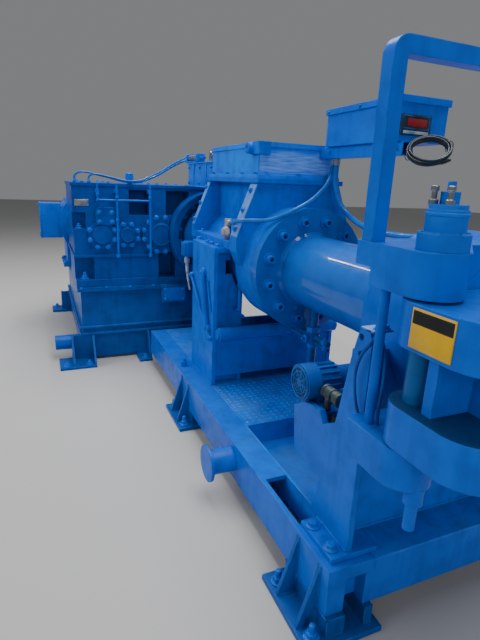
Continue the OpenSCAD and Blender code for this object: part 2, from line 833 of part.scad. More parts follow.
// Air valve on the lower box: a block and its silver cylinder
solenoid_y = -165;
solenoid_block = [60, 70, 88];
solenoid_gap = 12;
solenoid_r = 26;
solenoid_l = 150;
module feed_solenoid() {
    block_x = hopper_back - solenoid_gap - solenoid_block[0];
    color(bare_steel) {
        box([block_x, solenoid_y - solenoid_block[1] / 2, rear_box_z[1]],
            [block_x + solenoid_block[0], solenoid_y + solenoid_block[1] / 2, rear_box_z[1] + solenoid_block[2]]);
        rod_x(block_x - solenoid_l, block_x, solenoid_y, rear_box_z[1] + solenoid_block[2] / 2, solenoid_r, small_fn);
    }
}

// Barrel with its bolting flange
module barrel() {
    color(machine_blue)
        difference() {
            union() {
                rod_x(flange_face - flange_t, flange_face, 0, axis_z, flange_r, big_fn);
                rod_x(flange_face, head_back, 0, axis_z, barrel_r, big_fn);
            }
            rod_x(flange_face - flange_t - past, head_back + past, 0, axis_z, bore_r);
        }
}

// Flange bolts: socket heads on round washers
bolt_r = 22;
bolt_h = 30;
washer_r = 35;
washer_t = 6;
socket_r = 12;
socket_d = 14;
module flange_bolts() {
    color(deep_blue)
        for (i = [0 : bolt_count - 1]) {
            a = 180 / bolt_count + i * 360 / bolt_count;
            translate([flange_face, bolt_circle_r * cos(a), axis_z + bolt_circle_r * sin(a)])
                difference() {
                    union() {
                        rod_x(0, washer_t, 0, 0, washer_r, small_fn);
                        rod_x(washer_t, washer_t + bolt_h, 0, 0, bolt_r, small_fn);
                    }
                    rod_x(washer_t + bolt_h - socket_d, washer_t + bolt_h + past, 0, 0, socket_r, small_fn);
                }
        }
}

// Barrel pedestal: shaped side plates on foot plates, joined by a saddle under the head
ped_half = 470;
ped_foot_t = 20;
ped_foot_y = [-540, -345];
ped_foot_x = [690, 900];
ped_front = 885;
near_outline = [
    [640, 310], [885, 310], [885, 1090], [868, 1129], [818, 1114], [790, 1009], [742, 744],
    [670, 703], [642, 746], [534, 732], [455, 680], [482, 491], [680, 477]
];
far_outline = [[690, 310], [885, 310], [885, 1090], [868, 1129], [818, 1114], [790, 1009], [742, 744], [690, 560]];
ped_holes = [[820, 1095], [824, 1038]];
ped_hole_r = 11;
saddle_x = [760, 800];
saddle_top = 1030;
module ped_plate(outline) {
    difference() {
        plate_xz(outline, -ped_half, -ped_half + ped_plate_t);
        for (h = ped_holes)
            rod_y(-ped_half - past, -ped_half + ped_plate_t + past, h[0] + ped_hole_r, h[1], ped_hole_r, small_fn);
    }
}

module barrel_pedestal() {
    foot_top = base_top + ped_foot_t;
    color(machine_blue) {
        both_sides()
            box([ped_foot_x[0], ped_foot_y[0], base_top], [ped_foot_x[1], ped_foot_y[1], foot_top]);
        ped_plate(near_outline);
        mirror([0, 1, 0]) ped_plate(far_outline);
        difference() {
            box([saddle_x[0], -ped_half + ped_plate_t, foot_top], [saddle_x[1], ped_half - ped_plate_t, saddle_top]);
            rod_x(saddle_x[0] - past, saddle_x[1] + past, 0, axis_z, head_r, big_fn);
        }
    }
}

// Tank that carries the cooling pump
tank_x = [470, 640];
tank_in = -250;
tank_z = [496, 728];
module pump_tank() {
    color(machine_blue)
        box([tank_x[0], -ped_half + ped_plate_t, tank_z[0]], [tank_x[1], tank_in, tank_z[1]]);
}

// Cooling pump: fan cowl, ribbed motor and pump head, on two feet
pump_x = 512;
pump_face = -486;
pump_r = 72;
pump_z = tank_z[1] + pump_r + 6;
cowl_l = 60;
pump_len = [150, 250];
pump_head_r = 48;
pump_foot = [44, 30];
rib_count = 16;
rib_t = 4;
rib_h = 7;
module pump_motor() {
    color(machine_blue) {
        rod_y(pump_face, pump_face + cowl_l, pump_x, pump_z, pump_r);
        rod_y(pump_face + cowl_l, pump_face + pump_len[0], pump_x, pump_z, pump_r - rib_h - rib_t);
        rod_y(pump_face + pump_len[0], pump_face + pump_len[1], pump_x, pump_z, pump_head_r);
        for (i = [0 : rib_count - 1])
            translate([pump_x, 0, pump_z]) rotate([0, i * 360 / rib_count, 0])
                box([0, pump_face + cowl_l, -rib_t / 2], [pump_r - rib_t, pump_face + pump_len[0], rib_t / 2]);
        box([pump_x - pump_foot[0], pump_face + cowl_l, tank_z[1]],
            [pump_x + pump_foot[0], pump_face + pump_len[0], tank_z[1] + pump_foot[1]]);
    }
}

// Valves beside the pump, screwed to the tank
valve_rows = [[600, 700, -420, 800], [640, 735, -415, 690]];
pump_valve_r = 25;
valve_neck_r = 13;
neck_x = 616;
module pump_valves() {
    color(brass) {
        for (v = valve_rows)
            rod_x(v[0], v[1], v[2], v[3], pump_valve_r, small_fn);
        rod_z(tank_z[1], valve_rows[0][3], neck_x, valve_rows[0][2], valve_neck_r, small_fn);
    }
}

// Water pipes under the barrel: the drop to the deck and two runs to the feed pedestal
drain_x = -180;
drain_r = 24;
union_r = 38;
union_z = [690, 750];
run_end = -20;
run_rows = [[730, 15], [697, 11]];
module drain_pipe() {
    color(machine_blue) {
        difference() {
            rod_z(base_top, axis_z, drain_x, 0, drain_r);
            rod_x(flange_face, head_back, 0, axis_z, barrel_r, big_fn);
        }
        rod_z(union_z[0], union_z[1], drain_x, 0, union_r);
        for (r = run_rows)
            rod_x(feed_ped_front + cross_pipe_r, run_end, 0, r[0], r[1], small_fn);
    }
}

// Head block: the round body between the barrel and the gate
module head_block() {
    color(machine_blue)
        difference() {
            rod_x(head_back, head_face, 0, axis_z, head_r, big_fn);
            rod_x(head_back - past, head_face + past, 0, axis_z, bore_r);
        }
}

// Fixed ears: lugs that reach from the head block to the hinge and to the lock side
ear_inner_y = -150;
ear_nose = 60;
ear_back_y = -hinge_y + 190;
upper_root_x = 845;
lower_root_x = ped_front + 5;
ear_shoulder = 12;
ear_end_in = 17;
strap_x = 925;
strap_t = 67;
lower_cut = [70, 72];
upper_ear_low = hinge_mid_z + ear_gap_half;
lower_ear_top = hinge_mid_z - ear_gap_half;
module ear_outline(root_x) {
    end_x = hinge_x - ear_end_in;
    difference() {
        union() {
            translate([end_x, -hinge_y]) circle(r = ear_r);
            polygon([
                [root_x, ear_inner_y], [root_x, -hinge_y - ear_r + ear_shoulder],
                [root_x + ear_shoulder, -hinge_y - ear_r], [end_x, -hinge_y - ear_r],
                [end_x + ear_nose, -hinge_y + ear_nose], [head_face, ear_back_y], [head_face, ear_inner_y]
            ]);
        }
        translate([hinge_x, -hinge_y]) circle(r = hinge_r);
    }
}

module ear(z, root_x) {
    difference() {
        translate([0, 0, z]) linear_extrude(ear_t) ear_outline(root_x);
        rod_x(head_back - past, head_face + past, 0, axis_z, head_r, big_fn);
    }
}

module upper_ears() {
    color(machine_blue)
        both_sides()
            difference() {
                ear(upper_ear_low, upper_root_x);
                box([upper_root_x - past, -hinge_y - ear_r - past, upper_ear_low - past],
                    [strap_x, ear_inner_y + past, upper_ear_low + ear_t - strap_t]);
            }
}

module lower_ears() {
    low_z = lower_ear_top - ear_t;
    color(machine_blue)
        both_sides()
            difference() {
                ear(low_z, lower_root_x);
                plate_xz([
                    [lower_root_x - past, low_z - past], [lower_root_x + lower_cut[0], low_z - past],
                    [lower_root_x - past, low_z + lower_cut[1]]
                ], -hinge_y - ear_r - past, ear_inner_y + past);
            }
}

// Hinge pin, with the thrust washer under the gate
pin_fit = 0.05;
washer_fit = 0.3;
thrust_washer_w = 20;
pin_foot_z = lower_ear_top - ear_t;
module hinge_pin() {
    color(bare_steel) {
        rod_z(pin_foot_z, upper_ear_low + ear_t, hinge_x, -hinge_y, hinge_r);
        rod_z(lower_ear_top, lower_ear_top + gate_gap - washer_fit, hinge_x, -hinge_y, hinge_r + thrust_washer_w);
    }
}

// Drain fitting under the lower ear: a collar and its pipe
drain_fitting_x = 40;
fitting_steps = [[0, 52, 29], [52, 140, 18]];
module ear_fitting() {
    color(machine_blue)
        for (s = fitting_steps)
            rod_z(pin_foot_z - s[1], pin_foot_z - s[0], hinge_x + drain_fitting_x, -hinge_y, s[2], small_fn);
}

// Cap over the hinge pin: stepped cylinders with a fitting block on top
cap_z = upper_ear_low + ear_t;
cap_steps = [[0, 44, 64], [44, 100, 50], [100, 112, 46]];
cap_block = [[-16, -16, 112], [16, 16, 142]];
cap_stem = [142, 166, 10];
module hinge_cap() {
    color(machine_blue)
        translate([hinge_x, -hinge_y, cap_z]) {
            for (s = cap_steps)
                rod_z(s[0], s[1], 0, 0, s[2]);
            box(cap_block[0], cap_block[1]);
            rod_z(cap_stem[0], cap_stem[1], 0, 0, cap_stem[2], small_fn);
        }
}

strut_r = 15;
strut_x = 948;
strut_y = 500;
module ear_strut() {
    color(machine_blue)
        rod_z(lower_ear_top, upper_ear_low, strut_x, -strut_y, strut_r);
}

// Portal of square tube over the head, with rounded upper corners
portal_x = 893;
portal_y = 520;
module portal_frame() {
    x0 = portal_x - portal_w / 2;
    x1 = portal_x + portal_w / 2;
    outer = portal_y + portal_w / 2;
    top = cap_z + portal_h;
    color(machine_blue) {
        both_sides() {
            box([x0, -outer, cap_z], [x1, -outer + portal_w, top - portal_w]);
            intersection() {
                rod_x(x0, x1, -outer + portal_w, top - portal_w, portal_w);
                box([x0, -outer, top - portal_w], [x1, -outer + portal_w, top]);
            }
        }
        box([x0, -outer + portal_w, top - portal_w], [x1, outer - portal_w, top]);
    }
}

// Gate: two arms on the hinge pin and the block with the die bore
gate_back = head_face + gate_gap;
gate_front = gate_back + gate_l;
gate_half = hinge_y + ear_r;
gate_corner = 120;
gate_upper_low = upper_ear_low - gate_gap - gate_arm_t;
gate_lower_low = lower_ear_top + gate_gap;
gate_hub_r = 165;
gate_hub_out = 25;
arm_end_in = 14;
module arm_outline() {
    difference() {
        union() {
            translate([hinge_x + arm_end_in, -gate_half])
                square([gate_front - gate_corner - hinge_x - arm_end_in, 2 * gate_half]);
            translate([gate_back, -hinge_y]) square([gate_l - gate_corner, 2 * hinge_y]);
            translate([gate_back, -gate_half + gate_corner]) square([gate_l, 2 * (gate_half - gate_corner)]);
            for (y = [-gate_half + gate_corner, gate_half - gate_corner])
                translate([gate_front - gate_corner, y]) circle(r = gate_corner);
            for (y = [-hinge_y, hinge_y])
                translate([hinge_x + arm_end_in, y]) circle(r = ear_r);
        }
        for (y = [-hinge_y, hinge_y])
            translate([hinge_x, y]) circle(r = hinge_r + pin_fit);
    }
}

module gate_arm(z) {
    difference() {
        translate([0, 0, z]) linear_extrude(gate_arm_t) arm_outline();
        rod_x(gate_back - past, gate_front + past, 0, axis_z, gate_hub_r, big_fn);
    }
}

module gate_upper_arm() {
    color(machine_blue) gate_arm(gate_upper_low);
}

module gate_lower_arm() {
    color(machine_blue) gate_arm(gate_lower_low);
}

gate_block_half = 380;
gate_block_set = 30;
rib_x = [1150, 1182];
rib_reach = 508;
module gate_block() {
    low_z = gate_lower_low + gate_arm_t;
    color(machine_blue)
        difference() {
            union() {
                box([gate_back, -gate_block_half, low_z], [gate_front - gate_block_set, gate_block_half, gate_upper_low]);
                both_sides()
                    box([rib_x[0], -rib_reach, low_z], [rib_x[1], -gate_block_half, gate_upper_low]);
                rod_x(gate_back, gate_front + gate_hub_out, 0, axis_z, gate_hub_r, big_fn);
            }
            rod_x(gate_back - past, gate_front + gate_hub_out + past, 0, axis_z, die_r);
        }
}

// Control box with an overhanging lid, on a square tube that runs from the hopper
control_back = -400;
control_side = 115;
control_low = 1755;
control_lid_t = 30;
control_lid_out = 9;
module control_box() {
    color(machine_blue) {
        box([control_back, control_side, control_low],
            [control_back + control_l, control_side + control_w, control_low + control_h]);
        box([control_back - control_lid_out, control_side - control_lid_out, control_low + control_h - control_lid_t],
            [control_back + control_l + control_lid_out, control_side + control_w + control_lid_out,
                control_low + control_h]);
    }
}

rail_w = 60;
rail_wall = 5;
rail_side = 20;
rail_open = 180;
rail_past = 15;
module support_rail() {
    y0 = control_side + rail_side;
    x1 = control_back + control_l + rail_past;
    color(machine_blue)
        difference() {
            box([hopper_front, y0, control_low - rail_w], [x1, y0 + rail_w, control_low]);
            box([x1 - rail_open, y0 + rail_wall, control_low - rail_w + rail_wall],
                [x1 + past, y0 + rail_w - rail_wall, control_low - rail_wall]);
            box([hopper_front - past, y0 - past, hopper_top - hopper_rim_h],
                [hopper_front + hopper_rim_out, y0 + rail_w + past, hopper_top]);
        }
}

// Fittings of the two hoses, under the rail and on the head block
hose_fitting_l = 35;
valve_hose_at = [-400, 172];
head_hose_at = [-350, 165];
head_port = [115, 1370];
module hose_fittings() {
    color(bare_steel) {
        rod_z(control_low - rail_w - hose_fitting_l, control_low - rail_w, valve_hose_at[0], valve_hose_at[1], 15, small_fn);
        rod_z(control_low - rail_w - hose_fitting_l, control_low - rail_w, head_hose_at[0], head_hose_at[1], 19, small_fn);
        rod_x(head_back - hose_fitting_l, head_back, head_port[0], head_port[1], 19, small_fn);
    }
}

// Hoses: round tubes swept along the points of their routes
valve_hose_r = 11;
head_hose_r = 15;
hose_sides = 10;
side_axis = [1, -1, 0];
valve_hose_route = [
    [-670, -335, 1315], [-645, -335, 1315], [-605, -342, 1318], [-555, -362, 1326], [-500, -372, 1336], [-440, -358, 1346],
    [-390, -315, 1352], [-335, -258, 1358], [-280, -200, 1384], [-250, -120, 1428], [-275, -30, 1468],
    [-320, 50, 1510], [-365, 120, 1555], [-392, 160, 1605], [-400, 172, 1640], [-400, 172, 1660]
];
head_hose_route = [
    [-350, 165, 1660], [-350, 165, 1620], [-347, 167, 1560], [-328, 172, 1500], [-285, 175, 1448],
    [-215, 168, 1412], [-130, 148, 1388], [-30, 120, 1370], [80, 98, 1357], [200, 86, 1349],
    [320, 86, 1349], [430, 98, 1356], [525, 112, 1367], [570, 115, 1370], [605, 115, 1370]
];
function unit(v) = v / norm(v);
function route_dir(p, i) = unit(p[min(i + 1, len(p) - 1)] - p[max(i - 1, 0)]);
module hose(route, r) {
    rings = [
        for (i = [0 : len(route) - 1])
            let (t = route_dir(route, i), u = unit(cross(side_axis, t)), v = cross(t, u))
                for (k = [0 : hose_sides - 1])
                    route[i] + r * (cos(360 * k / hose_sides) * u + sin(360 * k / hose_sides) * v)
    ];
    last = (len(route) - 1) * hose_sides;
    polyhedron(rings, concat(
        [[for (k = [0 : hose_sides - 1]) k]],
        [for (i = [0 : len(route) - 2]) for (k = [0 : hose_sides - 1])
            [i * hose_sides + k, (i + 1) * hose_sides + k, (i + 1) * hose_sides + (k + 1) % hose_sides,
                i * hose_sides + (k + 1) % hose_sides]],
        [[for (k = [hose_sides - 1 : -1 : 0]) last + k]]
    ));
}

module valve_hose() {
    color(machine_blue) hose(valve_hose_route, valve_hose_r);
}

module head_hose() {
    color(machine_blue) hose(head_hose_route, head_hose_r);
}

base_beams();
base_cross_members();
base_deck();
main_feet();
lifting_trunnions();
gearbox_base();
gearbox_base_feet();
gearbox_lower_case();
gearbox_upper_case();
bearing_covers();
lube_pipes();
output_housing();
drive_motor();
motor_terminal_box();
coupling_guard();
feed_pedestal();
cross_pipe();
feed_housing();
throat_walls();
feed_end_plates();
feed_screw();
feed_valve();
hopper_box();
hopper_latch();
rear_feed_box();
feed_solenoid();
barrel();
flange_bolts();
barrel_pedestal();
pump_tank();
pump_motor();
pump_valves();
drain_pipe();
head_block();
upper_ears();
lower_ears();
hinge_pin();
hinge_cap();
ear_strut();
portal_frame();
gate_upper_arm();
gate_lower_arm();
gate_block();
control_box();
support_rail();
ear_fitting();
hose_fittings();
valve_hose();
head_hose();
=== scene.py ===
import math
import random
from itertools import product

import bmesh
import bpy
from mathutils import Matrix, Vector


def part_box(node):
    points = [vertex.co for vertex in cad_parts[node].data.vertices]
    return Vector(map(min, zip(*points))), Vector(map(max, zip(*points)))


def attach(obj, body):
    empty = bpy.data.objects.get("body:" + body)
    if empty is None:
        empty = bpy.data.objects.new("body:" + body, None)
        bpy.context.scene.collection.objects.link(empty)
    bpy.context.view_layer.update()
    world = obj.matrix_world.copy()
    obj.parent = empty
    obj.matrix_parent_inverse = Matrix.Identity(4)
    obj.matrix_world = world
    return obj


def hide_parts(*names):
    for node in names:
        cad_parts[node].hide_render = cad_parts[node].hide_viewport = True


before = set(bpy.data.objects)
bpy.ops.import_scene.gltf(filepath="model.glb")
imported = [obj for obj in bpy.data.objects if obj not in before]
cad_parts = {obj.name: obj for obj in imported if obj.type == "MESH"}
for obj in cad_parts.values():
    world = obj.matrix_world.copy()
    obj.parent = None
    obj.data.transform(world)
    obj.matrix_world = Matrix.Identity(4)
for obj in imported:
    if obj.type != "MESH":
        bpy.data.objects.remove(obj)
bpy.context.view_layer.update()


# Camera
# One photographer's view from beside the gate, at eye height, down the length of the line.
camera_data = bpy.data.cameras.new("view_down_the_line")
camera_data.lens = 26.286
camera_data.sensor_width = 36.0
camera_data.clip_end = 60.0
camera = bpy.data.objects.new("view_down_the_line", camera_data)
camera.location = (1.970, -1.385, 1.550)
camera.rotation_euler = [math.radians(a) for a in (73.544, -2.314, 67.284)]
bpy.context.scene.collection.objects.link(camera)
bpy.context.scene.camera = camera


# Hoses
# Two rubber hoses sprayed with the rest: one from the cooling valve over the flange rim, one to the head.
# Each leaves its fitting straight, sags between its ends and follows the route's own points.
def smooth_route(points, steps):
    """Points in metres with those of a spline through them put in between, as vectors."""
    spots = [Vector(p) for p in points]
    spots = [spots[0] * 2 - spots[1]] + spots + [spots[-1] * 2 - spots[-2]]
    route = []
    for a, b, c, d in zip(spots, spots[1:], spots[2:], spots[3:]):
        for step in range(steps):
            t = step / steps
            route.append(0.5 * (2 * b + (c - a) * t + (2 * a - 5 * b + 4 * c - d) * t ** 2
                                + (3 * b - a - 3 * c + d) * t ** 3))
    return route + [spots[-2]]


def draw_line(name, route, radius, rounding):
    """A round line along a route, with closed ends.

    Its points carry the radius, because the box that Blender gives a curve counts them and not the bevel.
    """
    curve = bpy.data.curves.new(name, "CURVE")
    curve.dimensions = "3D"
    curve.bevel_depth = 1.0
    curve.bevel_resolution = rounding
    curve.use_fill_caps = True
    line = curve.splines.new("POLY")
    line.points.add(len(route) - 1)
    for spot, point in zip(route, line.points):
        point.co = (*spot, 1)
        point.radius = radius
    drawn = bpy.data.objects.new(name, curve)
    bpy.context.scene.collection.objects.link(drawn)
    return drawn


def declare_cord(cord):
    """Sets a cord on the machine's body."""
    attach(cord, "machine")


def lay_hose(name, radius, points):
    """A hose through points in millimetres, as part.scad gives those of its own."""
    route = smooth_route([Vector(p) / 1000.0 for p in points], 5)
    hose = draw_line(name, route, radius, 3)
    declare_cord(hose)
    return hose


valve_hose = lay_hose("valve_hose_rubber", 0.011, (
    (-670, -335, 1315), (-645, -335, 1315), (-605, -342, 1318), (-555, -362, 1326), (-500, -372, 1336),
    (-440, -358, 1346), (-390, -315, 1352), (-335, -258, 1358), (-280, -200, 1384), (-250, -120, 1428),
    (-275, -30, 1468), (-320, 50, 1510), (-365, 120, 1555), (-392, 160, 1605), (-400, 172, 1640),
    (-400, 172, 1660)))
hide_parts("valve_hose")
head_hose = lay_hose("head_hose_rubber", 0.015, (
    (-350, 165, 1660), (-350, 165, 1620), (-347, 167, 1560), (-328, 172, 1500), (-285, 175, 1448),
    (-215, 168, 1412), (-130, 148, 1388), (-30, 120, 1370), (80, 98, 1357), (200, 86, 1349),
    (320, 86, 1349), (430, 98, 1356), (525, 112, 1367), (570, 115, 1370), (605, 115, 1370)))
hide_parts("head_hose")


# Floor and light
# A plain pale floor and soft studio panels: a broad one overhead, diffuse ones from the near side, the
# far side and the gate end, and a narrow strip that draws the long highlight on the barrel.
for name, place, target, size, watts, colour, mirrored in (
        ("overhead_panel", (-1.2, 0.3, 6.5), (-1.2, 0.0, 0.0), (8.0, 3.0), 520, (1, 1, 1), True),
        ("near_side_panel", (-2.8, -6.5, 4.2), (-1.2, 0.0, 0.9), (9.0, 3.0), 400, (0.97, 0.98, 1.0), False),
        ("far_side_panel", (-2.5, 6.0, 5.0), (-1.0, 0.0, 1.2), (7.0, 2.0), 240, (1.0, 0.98, 0.95), False),
        ("gate_end_fill", (7.0, -2.0, 2.9), (0.0, 0.0, 1.0), (3.0, 3.0), 165, (1, 1, 1), False),
        ("highlight_strip", (-2.45, -0.85, 3.30), (-2.45, 0.0, 1.09), (1.7, 0.05), 26, (1, 1, 1), True)):
    lamp = bpy.data.lights.new(name, "AREA")
    lamp.shape = "RECTANGLE"
    lamp.size, lamp.size_y = size
    lamp.energy = watts
    lamp.color = colour
    panel = bpy.data.objects.new(name, lamp)
    panel.location = place
    panel.visible_glossy = mirrored
    panel.rotation_euler = (Vector(target) - Vector(place)).to_track_quat("-Z", "Y").to_euler()
    bpy.context.scene.collection.objects.link(panel)

world = bpy.data.worlds.new("plain_backdrop")
world.use_nodes = True
world.node_tree.nodes["Background"].inputs["Color"].default_value = (0.80, 0.82, 0.84, 1)
world.node_tree.nodes["Background"].inputs["Strength"].default_value = 0.26
bpy.context.scene.world = world


def new_material(name):
    """A material, its node tree and the inputs of its shader."""
    material = bpy.data.materials.new(name)
    material.use_nodes = True
    return material, material.node_tree, material.node_tree.nodes["Principled BSDF"].inputs


bpy.ops.object.select_all(action="DESELECT")
bpy.ops.mesh.primitive_plane_add(size=60.0, location=(0.0, 0.0, 0.0))
floor = bpy.context.active_object
floor.name = "floor"
floor_paint, _, floor_skin = new_material("pale_floor")
floor_skin["Base Color"].default_value = (0.40, 0.40, 0.39, 1)
floor_skin["Roughness"].default_value = 0.8
floor.data.materials.append(floor_paint)


# Main base: two steel side beams, cross members and the feet under them
# Welded from rolled channel and plate, then sprayed all over with one thick blue enamel, which is
# thin and rubbed along the edges, dusty on what faces up and lumpy over the old paint.
def feed(tree, socket, value):
    """Links a socket to another node's output, or gives it a number, a vector or a colour."""
    if isinstance(value, bpy.types.NodeSocket):
        tree.links.new(value, socket)
    else:
        socket.default_value = (*value, 1) if socket.type == "RGBA" else value


def add_node(tree, kind, inputs=None, give=0, **settings):
    """A node with its settings and inputs. Gives back one of its outputs."""
    made = tree.nodes.new("ShaderNode" + kind)
    for key, value in settings.items():
        setattr(made, key, value)
    for key, value in (inputs or {}).items():
        feed(tree, made.inputs[key], value)
    return made.outputs[give]


def add_ramp(tree, source, low, high):
    return add_node(tree, "MapRange", {"Value": source, "From Min": low, "From Max": high})


def add_math(tree, operation, *values):
    return add_node(tree, "Math", dict(enumerate(values)), operation=operation)


def add_mix(tree, mask, first, second):
    return add_node(tree, "Mix", {0: mask, 6: first, 7: second}, 2, data_type="RGBA")


def add_noise(tree, scale, detail=3.0, stretch=(1, 1, 1)):
    where = add_node(tree, "TexCoord", give="Object")
    where = add_node(tree, "Mapping", {"Vector": where, "Scale": stretch})
    return add_node(tree, "TexNoise", {"Vector": where, "Scale": scale, "Detail": detail})


def new_group(name, takes, gives):
    """A node group, with the sockets that its inside reads and those that it fills."""
    group = bpy.data.node_groups.new(name, "ShaderNodeTree")
    for in_out, sockets in (("INPUT", takes), ("OUTPUT", gives)):
        for label, kind in sockets.items():
            group.interface.new_socket(name=label, in_out=in_out, socket_type="NodeSocket" + kind)
    return group, group.nodes.new("NodeGroupInput").outputs, group.nodes.new("NodeGroupOutput").inputs


edge_rub, takes, gives = new_group("edge_rub", {"Width": "Float", "Amount": "Float"},
                                   {"Mask": "Float", "Normal": "Vector"})
rounded = add_node(edge_rub, "Bevel", {"Radius": takes["Width"]}, samples=6)
flat = add_node(edge_rub, "NewGeometry", give="Normal")
parted = add_node(edge_rub, "VectorMath", {0: rounded, 1: flat}, "Value", operation="DOT_PRODUCT")
edge_line = add_ramp(edge_rub, add_math(edge_rub, "SUBTRACT", 1.0, parted), 0.01, 0.16)
edge_patch = add_ramp(edge_rub, add_noise(edge_rub, 16.0, 5.0), 0.40, 0.62)
edge_mask = add_math(edge_rub, "MULTIPLY", edge_line, edge_patch)
feed(edge_rub, gives["Mask"], add_math(edge_rub, "MULTIPLY", edge_mask, takes["Amount"]))
feed(edge_rub, gives["Normal"], rounded)

settled_dust, takes, gives = new_group(
    "settled_dust", {"Amount": "Float", "Patch size": "Float", "Cover": "Float"}, {"Mask": "Float"})
facing = add_node(settled_dust, "SeparateXYZ", {0: add_node(settled_dust, "NewGeometry", give="Normal")}, "Z")
dust_up = add_ramp(settled_dust, facing, 0.55, 1.0)
dust_patch = add_ramp(settled_dust, add_noise(settled_dust, takes["Patch size"], 6.0), 0.42, 0.75)
dust_mask = add_math(settled_dust, "MULTIPLY", dust_up,
                     add_math(settled_dust, "MAXIMUM", dust_patch, takes["Cover"]))
feed(settled_dust, gives["Mask"], add_math(settled_dust, "MULTIPLY", dust_mask, takes["Amount"]))

enamel_coat, takes, gives = new_group(
    "enamel_coat", {"Full coat": "Color", "Thin coat": "Color", "Shade coat": "Color", "Lumps": "Float"},
    {"Colour": "Color", "Roughness": "Float", "Height": "Float"})
coat_broad = add_ramp(enamel_coat, add_noise(enamel_coat, 2.2, 5.0), 0.35, 0.70)
coat_blotch = add_ramp(enamel_coat, add_noise(enamel_coat, 11.0, 6.0), 0.45, 0.72)
coat_runs = add_ramp(enamel_coat, add_noise(enamel_coat, 1.0, 4.0, (34, 34, 2.6)), 0.52, 0.74)
coat_peel = add_noise(enamel_coat, 260.0, 2.0)
coat_cast = add_noise(enamel_coat, 46.0, 5.0)
coat_mixed = add_mix(enamel_coat, coat_broad, takes["Full coat"], takes["Thin coat"])
for patches, share in ((coat_blotch, 0.45), (coat_runs, 0.30)):
    coat_mixed = add_mix(enamel_coat, add_math(enamel_coat, "MULTIPLY", patches, share), coat_mixed,
                         takes["Shade coat"])
feed(enamel_coat, gives["Colour"], coat_mixed)
coat_rough = add_math(enamel_coat, "MULTIPLY_ADD", coat_broad, 0.14, 0.24)
feed(enamel_coat, gives["Roughness"],
     add_math(enamel_coat, "ADD", coat_rough, add_math(enamel_coat, "MULTIPLY", coat_blotch, 0.10)))
coat_relief = add_math(enamel_coat, "MULTIPLY", coat_cast, takes["Lumps"])
for height, share in ((coat_peel, 0.06), (coat_runs, 0.35)):
    coat_relief = add_math(enamel_coat, "ADD", coat_relief, add_math(enamel_coat, "MULTIPLY", height, share))
feed(enamel_coat, gives["Height"], coat_relief)


def place_group(tree, group, **values):
    made = tree.nodes.new("ShaderNodeGroup")
    made.node_tree = group
    for label, value in values.items():
        feed(tree, made.inputs[label.replace("_", " ")], value)
    return made.outputs


rubbed_blue = (0.02, 0.24, 0.80)


def make_enamel(name, lumps=0.5, bump=0.25, dust=0.35, rub=0.5, full=(0, 0.088, 0.50),
                thin=(0.001, 0.118, 0.62), shade=(0, 0.045, 0.27), grime=(0.02, 0.10, 0.34),
                gloss=0.05, cover=0.0, shine=0.12, coat_rough=0.10):
    """Blue enamel over metal: lumps and bump for the metal under it, dust or grime on what faces up."""
    material, tree, skin = new_material(name)
    coat = place_group(tree, enamel_coat, Full_coat=full, Thin_coat=thin, Shade_coat=shade, Lumps=lumps)
    edge = place_group(tree, edge_rub, Width=0.006, Amount=rub)
    dusty = place_group(tree, settled_dust, Amount=dust, Patch_size=5.0, Cover=cover)["Mask"]
    rubbed = add_mix(tree, edge["Mask"], coat["Colour"], rubbed_blue)
    feed(tree, skin["Base Color"], add_mix(tree, dusty, rubbed, grime))
    feed(tree, skin["Roughness"], add_math(tree, "ADD", coat["Roughness"],
                                           add_math(tree, "MULTIPLY", dusty, 0.30)))
    feed(tree, skin["Normal"], add_node(tree, "Bump", {
        "Strength": bump, "Distance": 0.003, "Height": coat["Height"], "Normal": edge["Normal"]}))
    skin["Coat Weight"].default_value = gloss
    skin["Coat Roughness"].default_value = coat_rough
    skin["Specular IOR Level"].default_value = shine
    return material


def dress(material, *nodes):
    for node in nodes:
        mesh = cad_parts[node].data
        mesh.materials.clear()
        mesh.materials.append(material)


plate_enamel = make_enamel("plate_enamel", lumps=0.30, bump=0.20, dust=0.40, rub=0.6)
dress(plate_enamel, "base_beams", "base_cross_members", "lifting_trunnions")
# A darker copy of the enamel, as painted shade, for the feet and the other parts low down.
low_painted_shade_enamel = make_enamel("low_painted_shade_enamel", lumps=0.35, bump=0.22, dust=0.45, rub=0.7, full=(0, 0.056, 0.28),
                         thin=(0, 0.078, 0.37), shade=(0, 0.028, 0.14))
dress(low_painted_shade_enamel, "main_feet")
fastener_enamel = make_enamel("fastener_enamel", lumps=0.3, bump=0.2, dust=0.3, rub=0.9)

up = (0, 0, 1)
both_sides = (-1, 1)
beam_side = 0.566
anchor_plate = 0.022


def rest_all():
    if bpy.context.mode != "OBJECT":
        bpy.ops.object.mode_set(mode="OBJECT")
    bpy.ops.object.select_all(action="DESELECT")


def take_up(piece):
    """Makes a piece the only one that is selected, and the active one."""
    rest_all()
    piece.select_set(True)
    bpy.context.view_layer.objects.active = piece


def edit_faces(test):
    """Selects the faces of the active object that pass the test, in edit mode."""
    if bpy.context.mode != "EDIT_MESH":
        bpy.ops.object.mode_set(mode="EDIT")
    bpy.ops.mesh.select_mode(type="FACE")
    bpy.ops.mesh.select_all(action="DESELECT")
    shell = bmesh.from_edit_mesh(bpy.context.edit_object.data)
    for face in shell.faces:
        face.select_set(bool(test(face)))
    bmesh.update_edit_mesh(bpy.context.edit_object.data)


def join_pieces(pieces):
    rest_all()
    for piece in pieces:
        piece.select_set(True)
    bpy.context.view_layer.objects.active = pieces[0]
    if len(pieces) > 1:
        bpy.ops.object.join()
    return bpy.context.active_object


